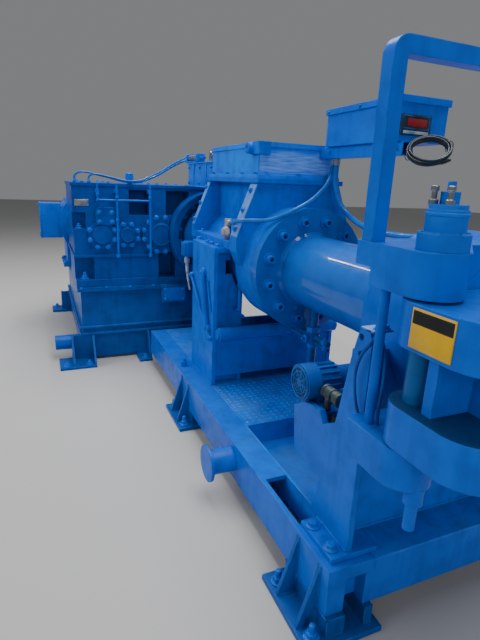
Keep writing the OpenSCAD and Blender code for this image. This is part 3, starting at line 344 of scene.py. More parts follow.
def finish_piece(made, name, material, body="machine"):
    """Hands an object, or a list that is joined, to the frame: at the origin, with its place in its mesh."""
    piece = join_pieces(made) if isinstance(made, list) else made
    take_up(piece)
    bpy.ops.object.transform_apply(location=True, rotation=True, scale=True)
    bpy.ops.object.shade_smooth_by_angle(angle=math.radians(40))
    piece.name = name
    piece.data.name = name
    piece.data.materials.clear()
    piece.data.materials.append(material)
    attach(piece, body)
    return piece


def hex_bolt(radius, head, stud):
    """A hexagon head on a round washer, up from z = 0, with an optional stud end above it."""
    rest_all()
    thick = radius * 0.22
    bpy.ops.mesh.primitive_cylinder_add(vertices=20, radius=radius * 1.45, depth=thick,
                                        location=(0, 0, thick / 2))
    edit_faces(lambda f: f.normal.z > 0.9)
    bpy.ops.mesh.inset(thickness=thick * 0.5)
    bpy.ops.transform.translate(value=(0, 0, thick * 0.35))
    bpy.ops.object.mode_set(mode="OBJECT")
    washer = bpy.context.active_object
    rest_all()
    bpy.ops.mesh.primitive_cylinder_add(vertices=6, radius=radius, depth=head,
                                        location=(0, 0, thick + head / 2))
    edit_faces(lambda f: f.normal.z > 0.9)
    bpy.ops.mesh.inset(thickness=radius * 0.14)
    bpy.ops.transform.translate(value=(0, 0, head * 0.14))
    if stud:
        bpy.ops.mesh.inset(thickness=radius * 0.22)
        bpy.ops.mesh.extrude_region_move(TRANSFORM_OT_translate={"value": (0, 0, stud)})
        bpy.ops.mesh.inset(thickness=radius * 0.08)
        bpy.ops.transform.translate(value=(0, 0, radius * 0.06))
    bpy.ops.object.mode_set(mode="OBJECT")
    return join_pieces([washer, bpy.context.active_object])


def set_bolts(name, radius, head, places, way=up, stud=0.0, body="machine"):
    """Bolts of one size at their places, with their heads facing one way, as one piece."""
    model = hex_bolt(radius, head, stud)
    turn = Vector(up).rotation_difference(Vector(way)).to_matrix().to_4x4()
    seeded = random.Random(name)
    copies = []
    rest_all()
    for place in places:
        other = model.copy()
        other.data = model.data.copy()
        bpy.context.scene.collection.objects.link(other)
        spin = Matrix.Rotation(seeded.uniform(0, math.tau), 4, "Z")
        other.data.transform(Matrix.Translation(place) @ turn @ model.matrix_world @ spin)
        other.matrix_world = Matrix.Identity(4)
        copies.append(other)
    bpy.data.objects.remove(model)
    finish_piece(copies, name, fastener_enamel, body)


foot_places = (-0.797, 0.797)
set_bolts("main_anchor_nuts", 0.021, 0.018,
          [(x + off, side * 0.609, anchor_plate)
           for x, off, side in product(foot_places, (-0.128, 0.128), both_sides)], stud=0.030)


def weld_bead(points, radius, name_seed):
    """A lumpy fillet of weld along a line of points."""
    seeded = random.Random(name_seed)
    curve = bpy.data.curves.new("bead", "CURVE")
    curve.dimensions = "3D"
    curve.bevel_depth = radius
    curve.bevel_resolution = 1
    for start, end in zip(points[:-1], points[1:]):
        start, end = Vector(start), Vector(end)
        count = max(2, int((end - start).length / (radius * 1.6)))
        line = curve.splines.new("POLY")
        line.points.add(count)
        for i, point in enumerate(line.points):
            point.co = (*start.lerp(end, i / count), 1)
            point.radius = 0.80 + 0.35 * (i % 2) * seeded.uniform(0.7, 1.1)
    bead = bpy.data.objects.new("bead", curve)
    bpy.context.scene.collection.objects.link(bead)
    take_up(bead)
    bpy.ops.object.convert(target="MESH")
    return bpy.context.active_object


foot_beads = []
for x, side in product(foot_places, both_sides):
    for off, face in product((-0.075, 0.075), (-0.008, 0.008)):
        foot_beads.append(weld_bead([(x + off + face, side * 0.640, anchor_plate),
                                     (x + off + face, side * beam_side, anchor_plate),
                                     (x + off + face, side * beam_side, 0.270)],
                                    0.0045, f"foot{x}{off}{face}"))
    foot_beads.append(weld_bead([(x - 0.150, side * beam_side, 0.098), (x + 0.150, side * beam_side, 0.098)],
                                0.005, f"riser{x}{side}"))
finish_piece(foot_beads, "foot_welds", low_painted_shade_enamel)


# Clamp bolt that stands on the near side beam
# A round plate with a nut over it and the bolt's plain end on top, all turned steel under paint.
def turned_piece(profile, place, way=up, sides=32):
    """A profile of (radius, height) pairs spun round an axis. One that ends where it starts is a ring."""
    shell = bmesh.new()
    is_ring = profile[0] == profile[-1]
    rings = []
    for radius, height in profile[:-1] if is_ring else profile:
        turns = [k * math.tau / sides for k in range(sides if radius > 1e-6 else 1)]
        rings.append([shell.verts.new((radius * math.cos(a), radius * math.sin(a), height)) for a in turns])
    for lower, upper in zip(rings, rings[1:] + rings[:1] if is_ring else rings[1:]):
        for k in range(sides):
            after = (k + 1) % sides
            if len(upper) == 1:
                shell.faces.new((lower[k], lower[after], upper[0]))
            else:
                shell.faces.new((lower[k], lower[after], upper[after], upper[k]))
    if not is_ring:
        for ring in (rings[0], rings[-1]):
            if len(ring) > 1:
                shell.faces.new(ring)
    bmesh.ops.recalc_face_normals(shell, faces=shell.faces)
    mesh = bpy.data.meshes.new("turned")
    shell.to_mesh(mesh)
    shell.free()
    turn = Vector(up).rotation_difference(Vector(way)).to_matrix().to_4x4()
    mesh.transform(Matrix.Translation(place) @ turn)
    piece = bpy.data.objects.new("turned", mesh)
    bpy.context.scene.collection.objects.link(piece)
    return piece


base_top = 0.290
finish_piece([
    turned_piece([(0.026, 0), (0.026, 0.010), (0.013, 0.012), (0.013, 0.052), (0.010, 0.056), (0, 0.057)],
                 (-1.007, -0.514, base_top), sides=20),
    turned_piece([(0.021, 0), (0.022, 0.004), (0.022, 0.017), (0.019, 0.020)],
                 (-1.007, -0.514, base_top + 0.014), sides=6)], "clamp_bolt", fastener_enamel)


# Deck: checker plate with raised lens treads, set between the side beams
# The treads are rolled proud of the plate in two directions. Paint is scuffed off their crowns, and their
# lighter blue is partly painted highlight.
dress(make_enamel("deck_enamel", lumps=0.45, bump=0.25, dust=0.55, rub=0.9, full=(0, 0.110, 0.58),
                  thin=(0.002, 0.15, 0.70), grime=(0.07, 0.16, 0.36)), "base_deck")
tread_scuff_and_highlight_enamel = make_enamel("tread_scuff_and_highlight_enamel", lumps=0.2, bump=0.15, dust=0.15, rub=1.0, gloss=0.30,
                           full=(0.004, 0.260, 0.90), thin=(0.060, 0.420, 1.0), shade=(0, 0.120, 0.55))
tread_pitch = 0.036
tread_half = 0.0125
tread_rise = 0.0022
treads_along = 14
treads_across = 24
field_corner = Vector((-0.600, -0.432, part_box("base_deck")[1].z))


def lens_tread(turned):
    rest_all()
    bpy.ops.mesh.primitive_circle_add(vertices=8, radius=tread_half, fill_type="NGON")
    bpy.ops.transform.resize(value=(1, 0.30, 1))
    bpy.ops.object.transform_apply(location=False, rotation=False, scale=True)
    edit_faces(lambda f: True)
    bpy.ops.mesh.extrude_region_move(TRANSFORM_OT_translate={"value": (0, 0, tread_rise * 0.6)})
    bpy.ops.mesh.inset(thickness=tread_half * 0.14)
    bpy.ops.transform.translate(value=(0, 0, tread_rise * 0.4))
    bpy.ops.object.mode_set(mode="OBJECT")
    tread = bpy.context.active_object
    tread.data.transform(Matrix.Rotation(math.radians(turned), 4, "Z"))
    return tread


treads = []
for turned in (45, -45):
    model = lens_tread(turned)
    for i, j in product(range(treads_along), range(treads_across)):
        if (i + j) % 2 == (turned > 0):
            other = model.copy()
            other.data = model.data.copy()
            step = Vector(((i + 0.5) * tread_pitch, (j + 0.5) * tread_pitch, 0))
            other.data.transform(Matrix.Translation(field_corner + step))
            bpy.context.scene.collection.objects.link(other)
            treads.append(other)
    bpy.data.objects.remove(model)
finish_piece(treads, "checker_treads", tread_scuff_and_highlight_enamel)


# Gearbox base and its feet: a welded box with two rails round it, set on anchored brackets
# Plate, sprayed thick. A small cover is bolted to the step box under the output side.
def shaped_box(low, high, bevel=0.003, segments=2):
    """A block between two corners with rounded edges."""
    rest_all()
    low, high = Vector(low), Vector(high)
    bpy.ops.mesh.primitive_cube_add(size=1.0, location=(low + high) / 2)
    block = bpy.context.active_object
    block.scale = high - low
    bpy.ops.object.transform_apply(location=True, rotation=False, scale=True)
    rounding = block.modifiers.new("rounding", "BEVEL")
    rounding.width = bevel
    rounding.segments = segments
    bpy.ops.object.modifier_apply(modifier="rounding")
    return block


# The gearbox base and its feet take the darker low enamel as painted shade.
dress(low_painted_shade_enamel, "gearbox_base", "gearbox_base_feet")
base_front = -2.057
downstream = (1, 0, 0)
set_bolts("gearbox_anchor_nuts", 0.020, 0.016,
          [*product((-1.905, -3.905), (-1.255, -1.075, 0.340, 0.520), (anchor_plate,)),
           *product((-1.925, -3.885), (-0.6005, -0.1345), (anchor_plate,))], stud=0.012)
finish_piece(shaped_box((-1.969, -0.422, 0.516), (-1.963, -0.228, 0.634), 0.002),
             "step_box_cover", plate_enamel)
set_bolts("step_box_bolts", 0.011, 0.009, product((-1.963,), (-0.405, -0.245), (0.533, 0.617)), downstream)
rail_beads = []
for z in (0.236, 0.250, 0.294, 0.308):
    rail_beads.append(weld_bead([(base_front, -1.105, z), (base_front, 0.370, z)], 0.004, f"rail{z}"))
    rail_beads.append(weld_bead([(-3.740, -1.108, z), (-2.060, -1.108, z)], 0.004, f"side{z}"))
rail_beads.append(weld_bead([(base_front, -1.105, 0.617), (base_front, 0.370, 0.617)], 0.005, "top_plate"))
finish_piece(rail_beads, "rail_welds", plate_enamel)


# Gearbox case and covers: heavy grey-iron castings bolted together along a joint flange
# The sand-cast skin shows through the enamel. Each bearing cover has a lobe under every bolt.
cast_enamel = make_enamel("cast_enamel", lumps=1.0, bump=0.45, dust=0.45, rub=0.6)
# A darker copy of the cast enamel, as painted shade, for the gearbox's castings.
shaded_cast_enamel = make_enamel("shaded_cast_enamel", lumps=1.0, bump=0.45, dust=0.40, rub=0.5,
                               full=(0, 0.046, 0.27), thin=(0, 0.062, 0.34), shade=(0, 0.022, 0.14))
dress(shaded_cast_enamel, "gearbox_lower_case", "gearbox_upper_case", "bearing_covers", "output_housing")
dress(cast_enamel, "lube_pipes")
case_face = -2.045
case_ends = (case_face - 0.055, -2.710)
line_z = 1.090
output_ring_r = 0.395
bearing_covers = ((-0.915, 0.104, 8, 0.024), (-0.712, 0.090, 8, 0.021), (-0.430, 0.146, 12, 0.026))


def ring_spots(x, radius, count, y=0.0):
    """Places round an axis along X at the barrel's height, half a step round from the horizontal."""
    return [(x, y + radius * math.cos(a), line_z + radius * math.sin(a))
            for a in [(k + 0.5) * math.tau / count for k in range(count)]]


def cover_spots(x, y, radius, count):
    """Places round a cover on the gearbox's front, apart from those under the output ring or the boss."""
    return [s for s in ring_spots(x, radius, count, y) if math.hypot(s[1], s[2] - line_z) > output_ring_r
            and not (-0.97 < s[1] < -0.80 and s[2] > 1.165)]


finish_piece([turned_piece([(lobe, 0), (lobe, 0.029), (lobe - 0.004, 0.034)], spot, downstream, 18)
              for y, radius, count, lobe in bearing_covers
              for spot in cover_spots(case_face, y, radius, count)],
             "cover_lobes", shaded_cast_enamel)
set_bolts("cover_bolts", 0.015, 0.013,
          [spot for y, radius, count, _ in bearing_covers
           for spot in cover_spots(case_face + 0.033, y, radius, count)], downstream)
finish_piece([turned_piece([(r - 0.012, -0.002), (r - 0.010, 0.006), (r - 0.003, 0.006), (r, -0.002),
                            (r - 0.012, -0.002)], (case_face + 0.052, y, line_z), downstream, 40)
              for y, r in ((-0.712, 0.060), (-0.430, 0.092))], "cover_rims", shaded_cast_enamel)
set_bolts("boss_bolts", 0.014, 0.011,
          product((case_face + 0.040,), (-0.935, -0.835), (1.195, 1.270)), downstream)
finish_piece([shaped_box((*low, 0.903), (*high, 0.929)) for low, high in (
    ((-2.047, -1.142), (-2.031, -0.448)), ((-2.047, -0.292), (-2.031, 0.406)),
    ((-2.764, -1.146), (-2.032, -1.133)), ((-2.764, 0.398), (-2.032, 0.411)))],
    "joint_flange", shaded_cast_enamel)
set_bolts("case_foot_nuts", 0.024, 0.022, product(case_ends, (-1.060, 0.330), (0.717,)), stud=0.025)
set_bolts("case_joint_nuts", 0.022, 0.018, product(case_ends, (-1.088, 0.350), (1.135,)), stud=0.015)
set_bolts("lid_bolts", 0.013, 0.010,
          product((-2.065, -2.400, -2.745), (-1.05, -0.85, -0.45, -0.20, 0.10, 0.33), (1.497,)))
set_bolts("ledge_bolts", 0.012, 0.010,
          product((-2.025,), (-1.10, -0.90, -0.70, -0.50, -0.10, 0.10, 0.30), (0.645,)))


def collar(outer, chamfer, rim, height, place, way=up, sides=6):
    """A nut or collar, chamfered at both ends."""
    inner = outer - chamfer
    return turned_piece([(inner, 0), (outer, rim), (outer, height - rim), (inner, height)], place, way, sides)


pipe_x = -1.984
pipe_nuts = [collar(0.015, 0.002, 0.003, 0.024, (pipe_x, y, z)) for y, z in (
    (-0.795, 0.905), (-0.795, 1.200), (-0.795, 1.380), (-0.527, 0.905), (-0.527, 1.380), (-0.944, 1.400))]
pipe_nuts.append(turned_piece([(0.010, -0.010), (0.0135, -0.004), (0.0135, 0.004), (0.010, 0.010)],
                              (pipe_x, -0.944, 1.368), (0, 1, 0), 16))
finish_piece(pipe_nuts, "pipe_nuts", fastener_enamel)


# Bare plate on the gearbox, held by four rivets, with nothing on it
# Dull alloy sheet. The lid beside it carries two hose elbows and the breather's cap.
def make_metal(name, colour, rough=0.35, rub=0.6, stain_colour=None, metallic=1.0):
    """Bare or stained metal: patches of stain, brighter rubbed edges and a fine scratched surface."""
    material, tree, skin = new_material(name)
    edge = place_group(tree, edge_rub, Width=0.004, Amount=rub)
    stain = add_ramp(tree, add_noise(tree, 18.0, 6.0), 0.35, 0.75)
    worn = add_mix(tree, stain, colour, stain_colour or tuple(c * 0.45 for c in colour))
    bright = tuple(min(1, c * 1.5) for c in colour)
    feed(tree, skin["Base Color"], add_mix(tree, edge["Mask"], worn, bright))
    feed(tree, skin["Roughness"], add_math(tree, "MULTIPLY_ADD", stain, 0.25, rough))
    skin["Metallic"].default_value = metallic
    feed(tree, skin["Normal"], add_node(tree, "Bump", {
        "Strength": 0.15, "Distance": 0.001, "Height": add_noise(tree, 120.0, 4.0),
        "Normal": edge["Normal"]}))
    return material


plate_front = case_face + 0.002
finish_piece(
    [shaped_box((case_face, -1.118, 1.317), (plate_front, -1.008, 1.369), 0.0006)]
    + [turned_piece([(0.004, 0), (0.004, 0.0015), (0.002, 0.003), (0, 0.0034)], (plate_front, y, z),
                    downstream, 10)
       for y, z in product((-1.112, -1.014), (1.323, 1.363))],
    "bare_plate", make_metal("plate_alloy", (0.46, 0.46, 0.44), rough=0.45))
finish_piece([turned_piece([(0.014, 0), (0.016, 0.002), (0.016, 0.014), (0.013, 0.016), (0.013, 0.026),
                            (0.010, 0.030), (0, 0.030)], (x, y, 1.497), sides=6)
              for x, y in ((-2.058, -1.105), (-2.048, -1.000))], "hose_elbows", fastener_enamel)
finish_piece(turned_piece([(0.030, 0), (0.033, 0.003), (0.033, 0.008), (0.028, 0.012), (0.010, 0.014),
                           (0, 0.0145)], (-2.105, -0.670, 1.571), sides=24), "breather_cap", fastener_enamel)


# Output side: the big grooved ring, and the adapter that hangs from the thrust housing
# A small finned block is screwed to the near side and a greyed flexible end hangs from it.
def tube(points, radius, rounding=2, steps=4):
    """A round tube through points in metres, rounded at its bends, with closed ends."""
    take_up(draw_line("tube", smooth_route(points, steps), radius, rounding))
    bpy.ops.object.convert(target="MESH")
    return bpy.context.active_object


set_bolts("output_ring_bolts", 0.017, 0.014, ring_spots(-1.960, 0.285, 16), downstream)
adapter = [shaped_box((-1.665, -0.335, 0.965), (-1.560, -0.215, 1.085), 0.006)]
for fin in range(4):
    adapter.append(shaped_box((-1.655 + fin * 0.026, -0.356, 0.972), (-1.643 + fin * 0.026, -0.334, 1.078)))
finish_piece(adapter, "adapter_block", cast_enamel)
greyed = make_metal("greyed_rubber", (0.42, 0.46, 0.50), rough=0.5, stain_colour=(0.05, 0.14, 0.30),
                    metallic=0.0)
end_x, end_y, end_z = -1.612, -0.318, 0.918
hanging = [turned_piece([(0.017, -0.056), (0.021, -0.052), (0.021, -0.040), (0.017, -0.038), (0.023, -0.034),
                         (0.023, -0.016), (0.016, -0.012), (0.016, 0.002)], (end_x, end_y, 0.968), sides=20)]
for r, high, low in ((0.013, 0.918, 0.840), (0.010, 0.848, 0.768), (0.0075, 0.776, 0.700)):
    hanging.append(tube([(end_x + 0.9 * (end_z - z) ** 2, end_y + 0.3 * (end_z - z) ** 2, z)
                         for z in (high, high * 0.67 + low * 0.33, high * 0.33 + low * 0.67, low)], r))
finish_piece(hanging, "hanging_adapter", greyed)
finish_piece(turned_piece([(0.260, 0), (0.276, 0.004), (0.276, 0.020), (0.260, 0.026), (0.260, 0)],
                          (-1.420, 0, line_z), downstream, 64), "thrust_housing_band", cast_enamel)


# Drive motor: a ribbed frame behind the gearbox, with its terminal box and coupling guard
# Grey-iron frame with cooling ribs along it, a pressed fan cowl at the back with a wire grille.
dress(cast_enamel, "drive_motor", "motor_terminal_box")
dress(plate_enamel, "coupling_guard")
motor_y = -0.893
to_near_side = (0, -1, 0)
motor_ribs = []
for turn in [k * math.tau / 40 for k in range(40)]:
    over_feet = math.sin(turn) < -0.62
    behind_box = math.cos(turn) < -0.80 and abs(math.sin(turn)) < 0.62
    if not over_feet and not behind_box:
        rib = shaped_box((-3.570, -0.0035, 0.300), (-3.010, 0.0035, 0.328), 0.0015, 1)
        rib.data.transform(Matrix.Translation((0, motor_y, line_z))
                           @ Matrix.Rotation(turn - math.pi / 2, 4, "X"))
        motor_ribs.append(rib)
finish_piece(motor_ribs, "motor_ribs", cast_enamel)
grille = [turned_piece([(r - 0.004, -0.002), (r - 0.003, 0.004), (r + 0.003, 0.004), (r + 0.004, -0.002),
                        (r - 0.004, -0.002)], (-3.660, motor_y, line_z), (-1, 0, 0), 48)
          for r in (0.245, 0.205, 0.165, 0.125, 0.085, 0.045)]
for k in range(8):
    bar = shaped_box((-3.667, -0.004, 0.030), (-3.660, 0.004, 0.250), 0.0015, 1)
    bar.data.transform(Matrix.Translation((0, motor_y, line_z)) @ Matrix.Rotation(k * math.tau / 8, 4, "X"))
    grille.append(bar)
finish_piece(grille, "fan_grille", fastener_enamel)
box_low, box_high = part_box("motor_terminal_box")
finish_piece(shaped_box(box_low - Vector((0.004, 0.003, 0.004)),
                        (box_high.x + 0.004, box_low.y + 0.014, box_high.z + 0.004), 0.004),
             "terminal_lid", cast_enamel)
set_bolts("terminal_lid_screws", 0.010, 0.005,
          product((box_low.x + 0.020, box_high.x - 0.020), (box_low.y - 0.003,),
                  (box_low.z + 0.020, box_high.z - 0.020)), to_near_side)
set_bolts("motor_foot_bolts", 0.018, 0.015,
          product((-3.480, -3.100), (motor_y - 0.265, motor_y + 0.265), (0.679,)))


# Feed pedestal: two box legs welded from plate, with rods and a conduit on the near plate
# Mill-scale plate with bright welds painted over. Bolts stand on the seats under the side bars.
side_enamel = make_enamel("side_enamel", lumps=0.30, bump=0.20, dust=0.40, rub=0.6, full=(0, 0.100, 0.56),
                          thin=(0.001, 0.135, 0.68))
dress(side_enamel, "feed_pedestal")
dress(plate_enamel, "cross_pipe")
set_bolts("seat_bolts", 0.017, 0.015, product((-1.025, -0.850, -0.772, -0.665), (-0.412, 0.412), (1.170,)))
rods = [tube([(-1.050, -0.455, 0.930), (-0.855, -0.457, 0.768), (-0.655, -0.455, 0.602)], 0.009),
        tube([(-0.799, -0.461, 0.998), (-0.748, -0.463, 0.827), (-0.697, -0.461, 0.656)], 0.017, 3),
        tube([(-0.727, -0.447, 0.953), (-0.692, -0.449, 0.864), (-0.657, -0.447, 0.775)], 0.006)]
for x, z, r in ((-1.050, 0.930, 0.021), (-0.655, 0.602, 0.018), (-0.799, 0.998, 0.026),
                (-0.697, 0.656, 0.024)):
    rods.append(turned_piece([(r, 0), (r, 0.018), (r * 0.85, 0.022), (r * 0.45, 0.023), (r * 0.4, 0.034),
                              (0, 0.035)], (x, -0.441, z), to_near_side, 20))
finish_piece(rods, "side_rods", fastener_enamel)
finish_piece([tube([(-0.618, -0.274, 0.975), (-0.618, -0.274, 0.880), (-0.618, -0.274, 0.800),
                    (-0.640, -0.274, 0.778), (-0.692, -0.274, 0.775)], 0.012, 3),
              collar(0.019, 0.003, 0.004, 0.030, (-0.618, -0.274, 0.925))], "jacket_pipe", fastener_enamel)
leg_beads = []
for side in both_sides:
    for start, end, radius, label in (((-0.689, 0.415, 0.620), (-0.689, 0.415, 1.138), 0.004, "web"),
                                      ((-1.060, 0.442, 0.291), (-0.630, 0.442, 0.291), 0.005, "foot"),
                                      ((-0.629, 0.440, 0.300), (-0.629, 0.418, 0.300), 0.005, "toe")):
        leg_beads.append(weld_bead([(x, side * y, z) for x, y, z in (start, end)], radius, f"{label}{side}"))
leg_beads.append(weld_bead([(-0.641, -0.415, 0.601), (-0.641, 0.415, 0.601)], 0.004, "panel_top"))
finish_piece(leg_beads, "pedestal_welds", side_enamel)


# Feed housing: the round casting with its throat, end plates and the worn clamping strips
# The strips on the slanted edges are polished by handling and hold three screws each.
dress(cast_enamel, "feed_housing", "throat_walls", "feed_end_plates")
edge_top = Vector((0, -0.262, 1.549))
edge_low = Vector((0, -0.380, 1.248))
edge_run = edge_low - edge_top
edge_tilt = math.pi - math.atan2(edge_run.y, edge_run.z)
# Enamel for the clamp strips and the pedestal lip, pale where rubbed and on what faces up; on the lip the
# pale coat is painted highlight.
worn_strip = make_enamel("worn_strip", lumps=0.2, bump=0.15, dust=0.9, rub=1.0, full=(0.004, 0.12, 0.52),
                         thin=(0.20, 0.34, 0.62), shade=(0.001, 0.07, 0.34), grime=(0.34, 0.48, 0.72))
strips = []
strip_spots = []
for (x0, x1), side in product(((-0.545, -0.455), (-1.285, -1.235)), (1, -1)):
    strip = shaped_box((x0, -0.003, -0.155), (x1, 0.004, 0.155), 0.002)
    strip.data.transform(Matrix.Translation((edge_top + edge_low) / 2) @ Matrix.Rotation(edge_tilt, 4, "X"))
    if side < 0:
        strip.data.transform(Matrix.Scale(-1, 4, (0, 1, 0)))
        strip.data.flip_normals()
    strips.append(strip)
    for share in (0.14, 0.50, 0.86):
        spot = edge_top + edge_run * share
        strip_spots.append(((x0 + x1) / 2, spot.y * side, spot.z, side))
finish_piece(strips, "clamp_strips", worn_strip)
out_y = -0.931
out_z = 0.365
for side, label in ((1, "near"), (-1, "far")):
    set_bolts(f"strip_screws_{label}", 0.012, 0.010,
              [(x, y + out_y * side * 0.003, z + out_z * 0.003) for x, y, z, s in strip_spots if s == side],
              (0, out_y * side, out_z))
set_bolts("bar_bolts", 0.014, 0.012, product((-1.150, -0.600), (-0.345, 0.345), (1.215,)))


# Cooling valve: a small angle valve on the side bar, its brass greyed and chipped
# Turned body with a hexagon, a knob towards the gate end and a union on the hose.
worn_brass = make_metal("worn_brass", (0.62, 0.60, 0.55), rough=0.45, stain_colour=(0.18, 0.17, 0.14),
                        metallic=0.6)
dress(worn_brass, "feed_valve")
valve_y = -0.335
knob_way = (0.80, -0.60, 0.0)
finish_piece([
    collar(0.026, 0.002, 0.003, 0.022, (-0.700, valve_y, 1.222)),
    turned_piece([(0.012, 0.012), (0.012, 0.026), (0.027, 0.028), (0.029, 0.032), (0.029, 0.046),
                  (0.026, 0.050), (0.009, 0.050), (0.009, 0.046), (0, 0.046)],
                 (-0.700, valve_y, 1.262), knob_way, 14),
    collar(0.018, 0.002, 0.003, 0.020, (-0.682, valve_y, 1.315), downstream)],
    "valve_knob", worn_brass)


# Screw and hopper: steel flights under an open sheet box with a folded rim
# The hopper's sheet is scuffed pale on the face over the barrel, where feed strip drags over it.
dress(make_metal("screw_steel", (0.42, 0.42, 0.41)), "feed_screw")
hopper_enamel = make_enamel("hopper_enamel", lumps=0.25, bump=0.18, dust=0.45, rub=0.8, full=(0, 0.135, 0.66),
                            thin=(0.004, 0.190, 0.80), shade=(0, 0.070, 0.38))
tree = hopper_enamel.node_tree
where = add_node(tree, "TexCoord", give="Object")
on_face = add_math(tree, "GREATER_THAN", add_node(tree, "SeparateXYZ", {0: where}, "X"), -0.492)
height = add_node(tree, "SeparateXYZ", {0: where}, "Z")
low_band = add_math(tree, "MULTIPLY", add_ramp(tree, height, 1.595, 1.625),
                    add_ramp(tree, height, 1.740, 1.700))
streaks = add_ramp(tree, add_noise(tree, 1.0, 6.0, (6, 9, 150)), 0.30, 0.66)
scuff = add_math(tree, "MULTIPLY", add_math(tree, "MULTIPLY", on_face, low_band), streaks)
painted = tree.nodes["Principled BSDF"].inputs["Base Color"]
feed(tree, painted, add_mix(tree, add_math(tree, "MULTIPLY", scuff, 0.62), painted.links[0].from_socket,
                            (0.30, 0.50, 0.82)))
dress(hopper_enamel, "hopper_box")
dress(side_enamel, "hopper_latch")
set_bolts("hopper_foot_bolts", 0.010, 0.009,
          [*product((-1.220, -0.960, -0.720, -0.530), (-0.253, 0.253), (1.595,)),
           *product((-0.475,), (-0.200, 0.0, 0.200), (1.595,))])
finish_piece([
    turned_piece([(0.030, 0), (0.031, 0.004), (0.024, 0.006), (0.012, 0.006), (0.012, 0.002), (0, 0.002)],
                 (-0.569, -0.283, 1.735), to_near_side, 28),
    weld_bead([(-0.487, -0.248, 1.700), (-0.487, -0.248, 1.600)], 0.003, "corner")],
    "latch_roller", fastener_enamel)


# Rear duct and cylinders: a folded sheet duct behind the hopper, with two air cylinders on its lid
# Sheet with lipped top and bottom and two straps round it. The cylinders are drawn tube, silver where bare.
duct_side = 0.236
duct_parts = [shaped_box((-1.870, -duct_side, 1.500), (-1.271, duct_side, 1.680), 0.004),
              shaped_box((-1.880, -0.244, 1.670), (-1.264, 0.244, 1.682), 0.002),
              shaped_box((-1.880, -0.244, 1.499), (-1.300, 0.244, 1.507), 0.002)]
for x in (-1.720, -1.420):
    duct_parts.append(shaped_box((x - 0.012, -0.243, 1.506), (x + 0.012, 0.243, 1.672), 0.002))
rear_duct = finish_piece(duct_parts, "rear_duct", side_enamel)
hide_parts("rear_feed_box")
for side, label in ((-1, "near"), (1, "far")):
    set_bolts(f"duct_bolts_{label}", 0.009, 0.007,
              product((-1.845, -1.570, -1.300), (side * duct_side,), (1.530, 1.645)), (0, side, 0))
silver = make_metal("cylinder_silver", (0.62, 0.63, 0.64), rough=0.25)
dress(silver, "feed_solenoid")
finish_piece([shaped_box((x - 0.010, -0.196, 1.693), (x + 0.010, -0.134, 1.755), 0.004)
              for x in (-1.470, -1.352)]
             + [turned_piece([(0.004, 0), (0.004, 0.110)], (-1.468, y, z), downstream, 8)
                for y, z in product((-0.189, -0.141), (1.700, 1.748))],
             "cylinder_heads", silver)
finish_piece(collar(0.0245, 0.0005, 0.004, 0.256, (-1.890, -0.214, 1.714), downstream, 28),
             "air_cylinder", silver)
finish_piece([shaped_box((x, -0.247, 1.682), (x + 0.030, -0.181, 1.746), 0.004) for x in (-1.914, -1.646)]
             + [turned_piece([(0.008, 0), (0.008, 0.070), (0.012, 0.072), (0.012, 0.088), (0, 0.090)],
                             (-1.616, -0.214, 1.714), downstream, 14)]
             + [turned_piece([(0.0035, 0), (0.0035, 0.240)], (-1.885, y, z), downstream, 8)
                for y, z in product((-0.241, -0.187), (1.688, 1.740))], "air_cylinder_heads", fastener_enamel)


# Air hoses: two painted hoses from the gearbox's lid to the cylinder over the hopper's duct
# Each screws into an elbow at one end and pushes into a collar on the cylinder's head at the other.
for y, z, name in ((-0.228, 1.700, "air_fitting_near"), (-0.200, 1.728, "air_fitting_far")):
    push_collar = turned_piece([(0.0085, -0.006), (0.0115, -0.004), (0.0115, 0.010), (0.009, 0.012)],
                               (-1.926, y, z), downstream, 16)
    finish_piece(push_collar, name, fastener_enamel)
air_hose_near = lay_hose("air_hose_near_rubber", 0.008, (
    (-2058, -1105, 1520), (-2058, -1105, 1540), (-2058, -1092, 1562), (-2058, -1050, 1578),
    (-2058, -990, 1574), (-2058, -930, 1560), (-2058, -850, 1545), (-2058, -760, 1522),
    (-2058, -670, 1510), (-2058, -590, 1518), (-2058, -510, 1546), (-2056, -430, 1584),
    (-2048, -360, 1628), (-2032, -300, 1664), (-2003, -256, 1688), (-1965, -234, 1699),
    (-1935, -228, 1700), (-1908, -228, 1700)))
air_hose_far = lay_hose("air_hose_far_rubber", 0.007, (
    (-2048, -1000, 1520), (-2048, -1000, 1534), (-2046, -988, 1552), (-2042, -955, 1564), (-2038, -905, 1560),
    (-2038, -840, 1547), (-2038, -760, 1530), (-2038, -670, 1520), (-2038, -590, 1530), (-2038, -510, 1562),
    (-2036, -430, 1604), (-2028, -355, 1650), (-2012, -290, 1690), (-1988, -242, 1716), (-1958, -212, 1727),
    (-1930, -201, 1728), (-1908, -200, 1728)))


# Barrel: a long turned and painted jacket bolted to the feed housing by socket screws
# The smoothest surface of the machine, so the paint is glossy, with faint runs round it.
barrel_enamel = make_enamel("barrel_enamel", lumps=0.06, bump=0.06, dust=0.10, rub=0.4, full=(0, 0.086, 0.41),
                            thin=(0, 0.104, 0.49), shade=(0, 0.055, 0.28), gloss=0.55, shine=0.10,
                            coat_rough=0.04)
dress(barrel_enamel, "barrel")
dress(make_enamel("socket_enamel", lumps=0.3, bump=0.2, dust=0.15, rub=0.8, full=(0, 0.085, 0.48),
                  thin=(0.001, 0.12, 0.58)), "flange_bolts")
finish_piece(turned_piece([(0.192, -0.002), (0.214, -0.001), (0.210, 0.004), (0.201, 0.010), (0.196, 0.020),
                           (0.192, 0.021), (0.192, -0.002)], (-0.260, 0, line_z), downstream, 96),
             "barrel_fillet", barrel_enamel)
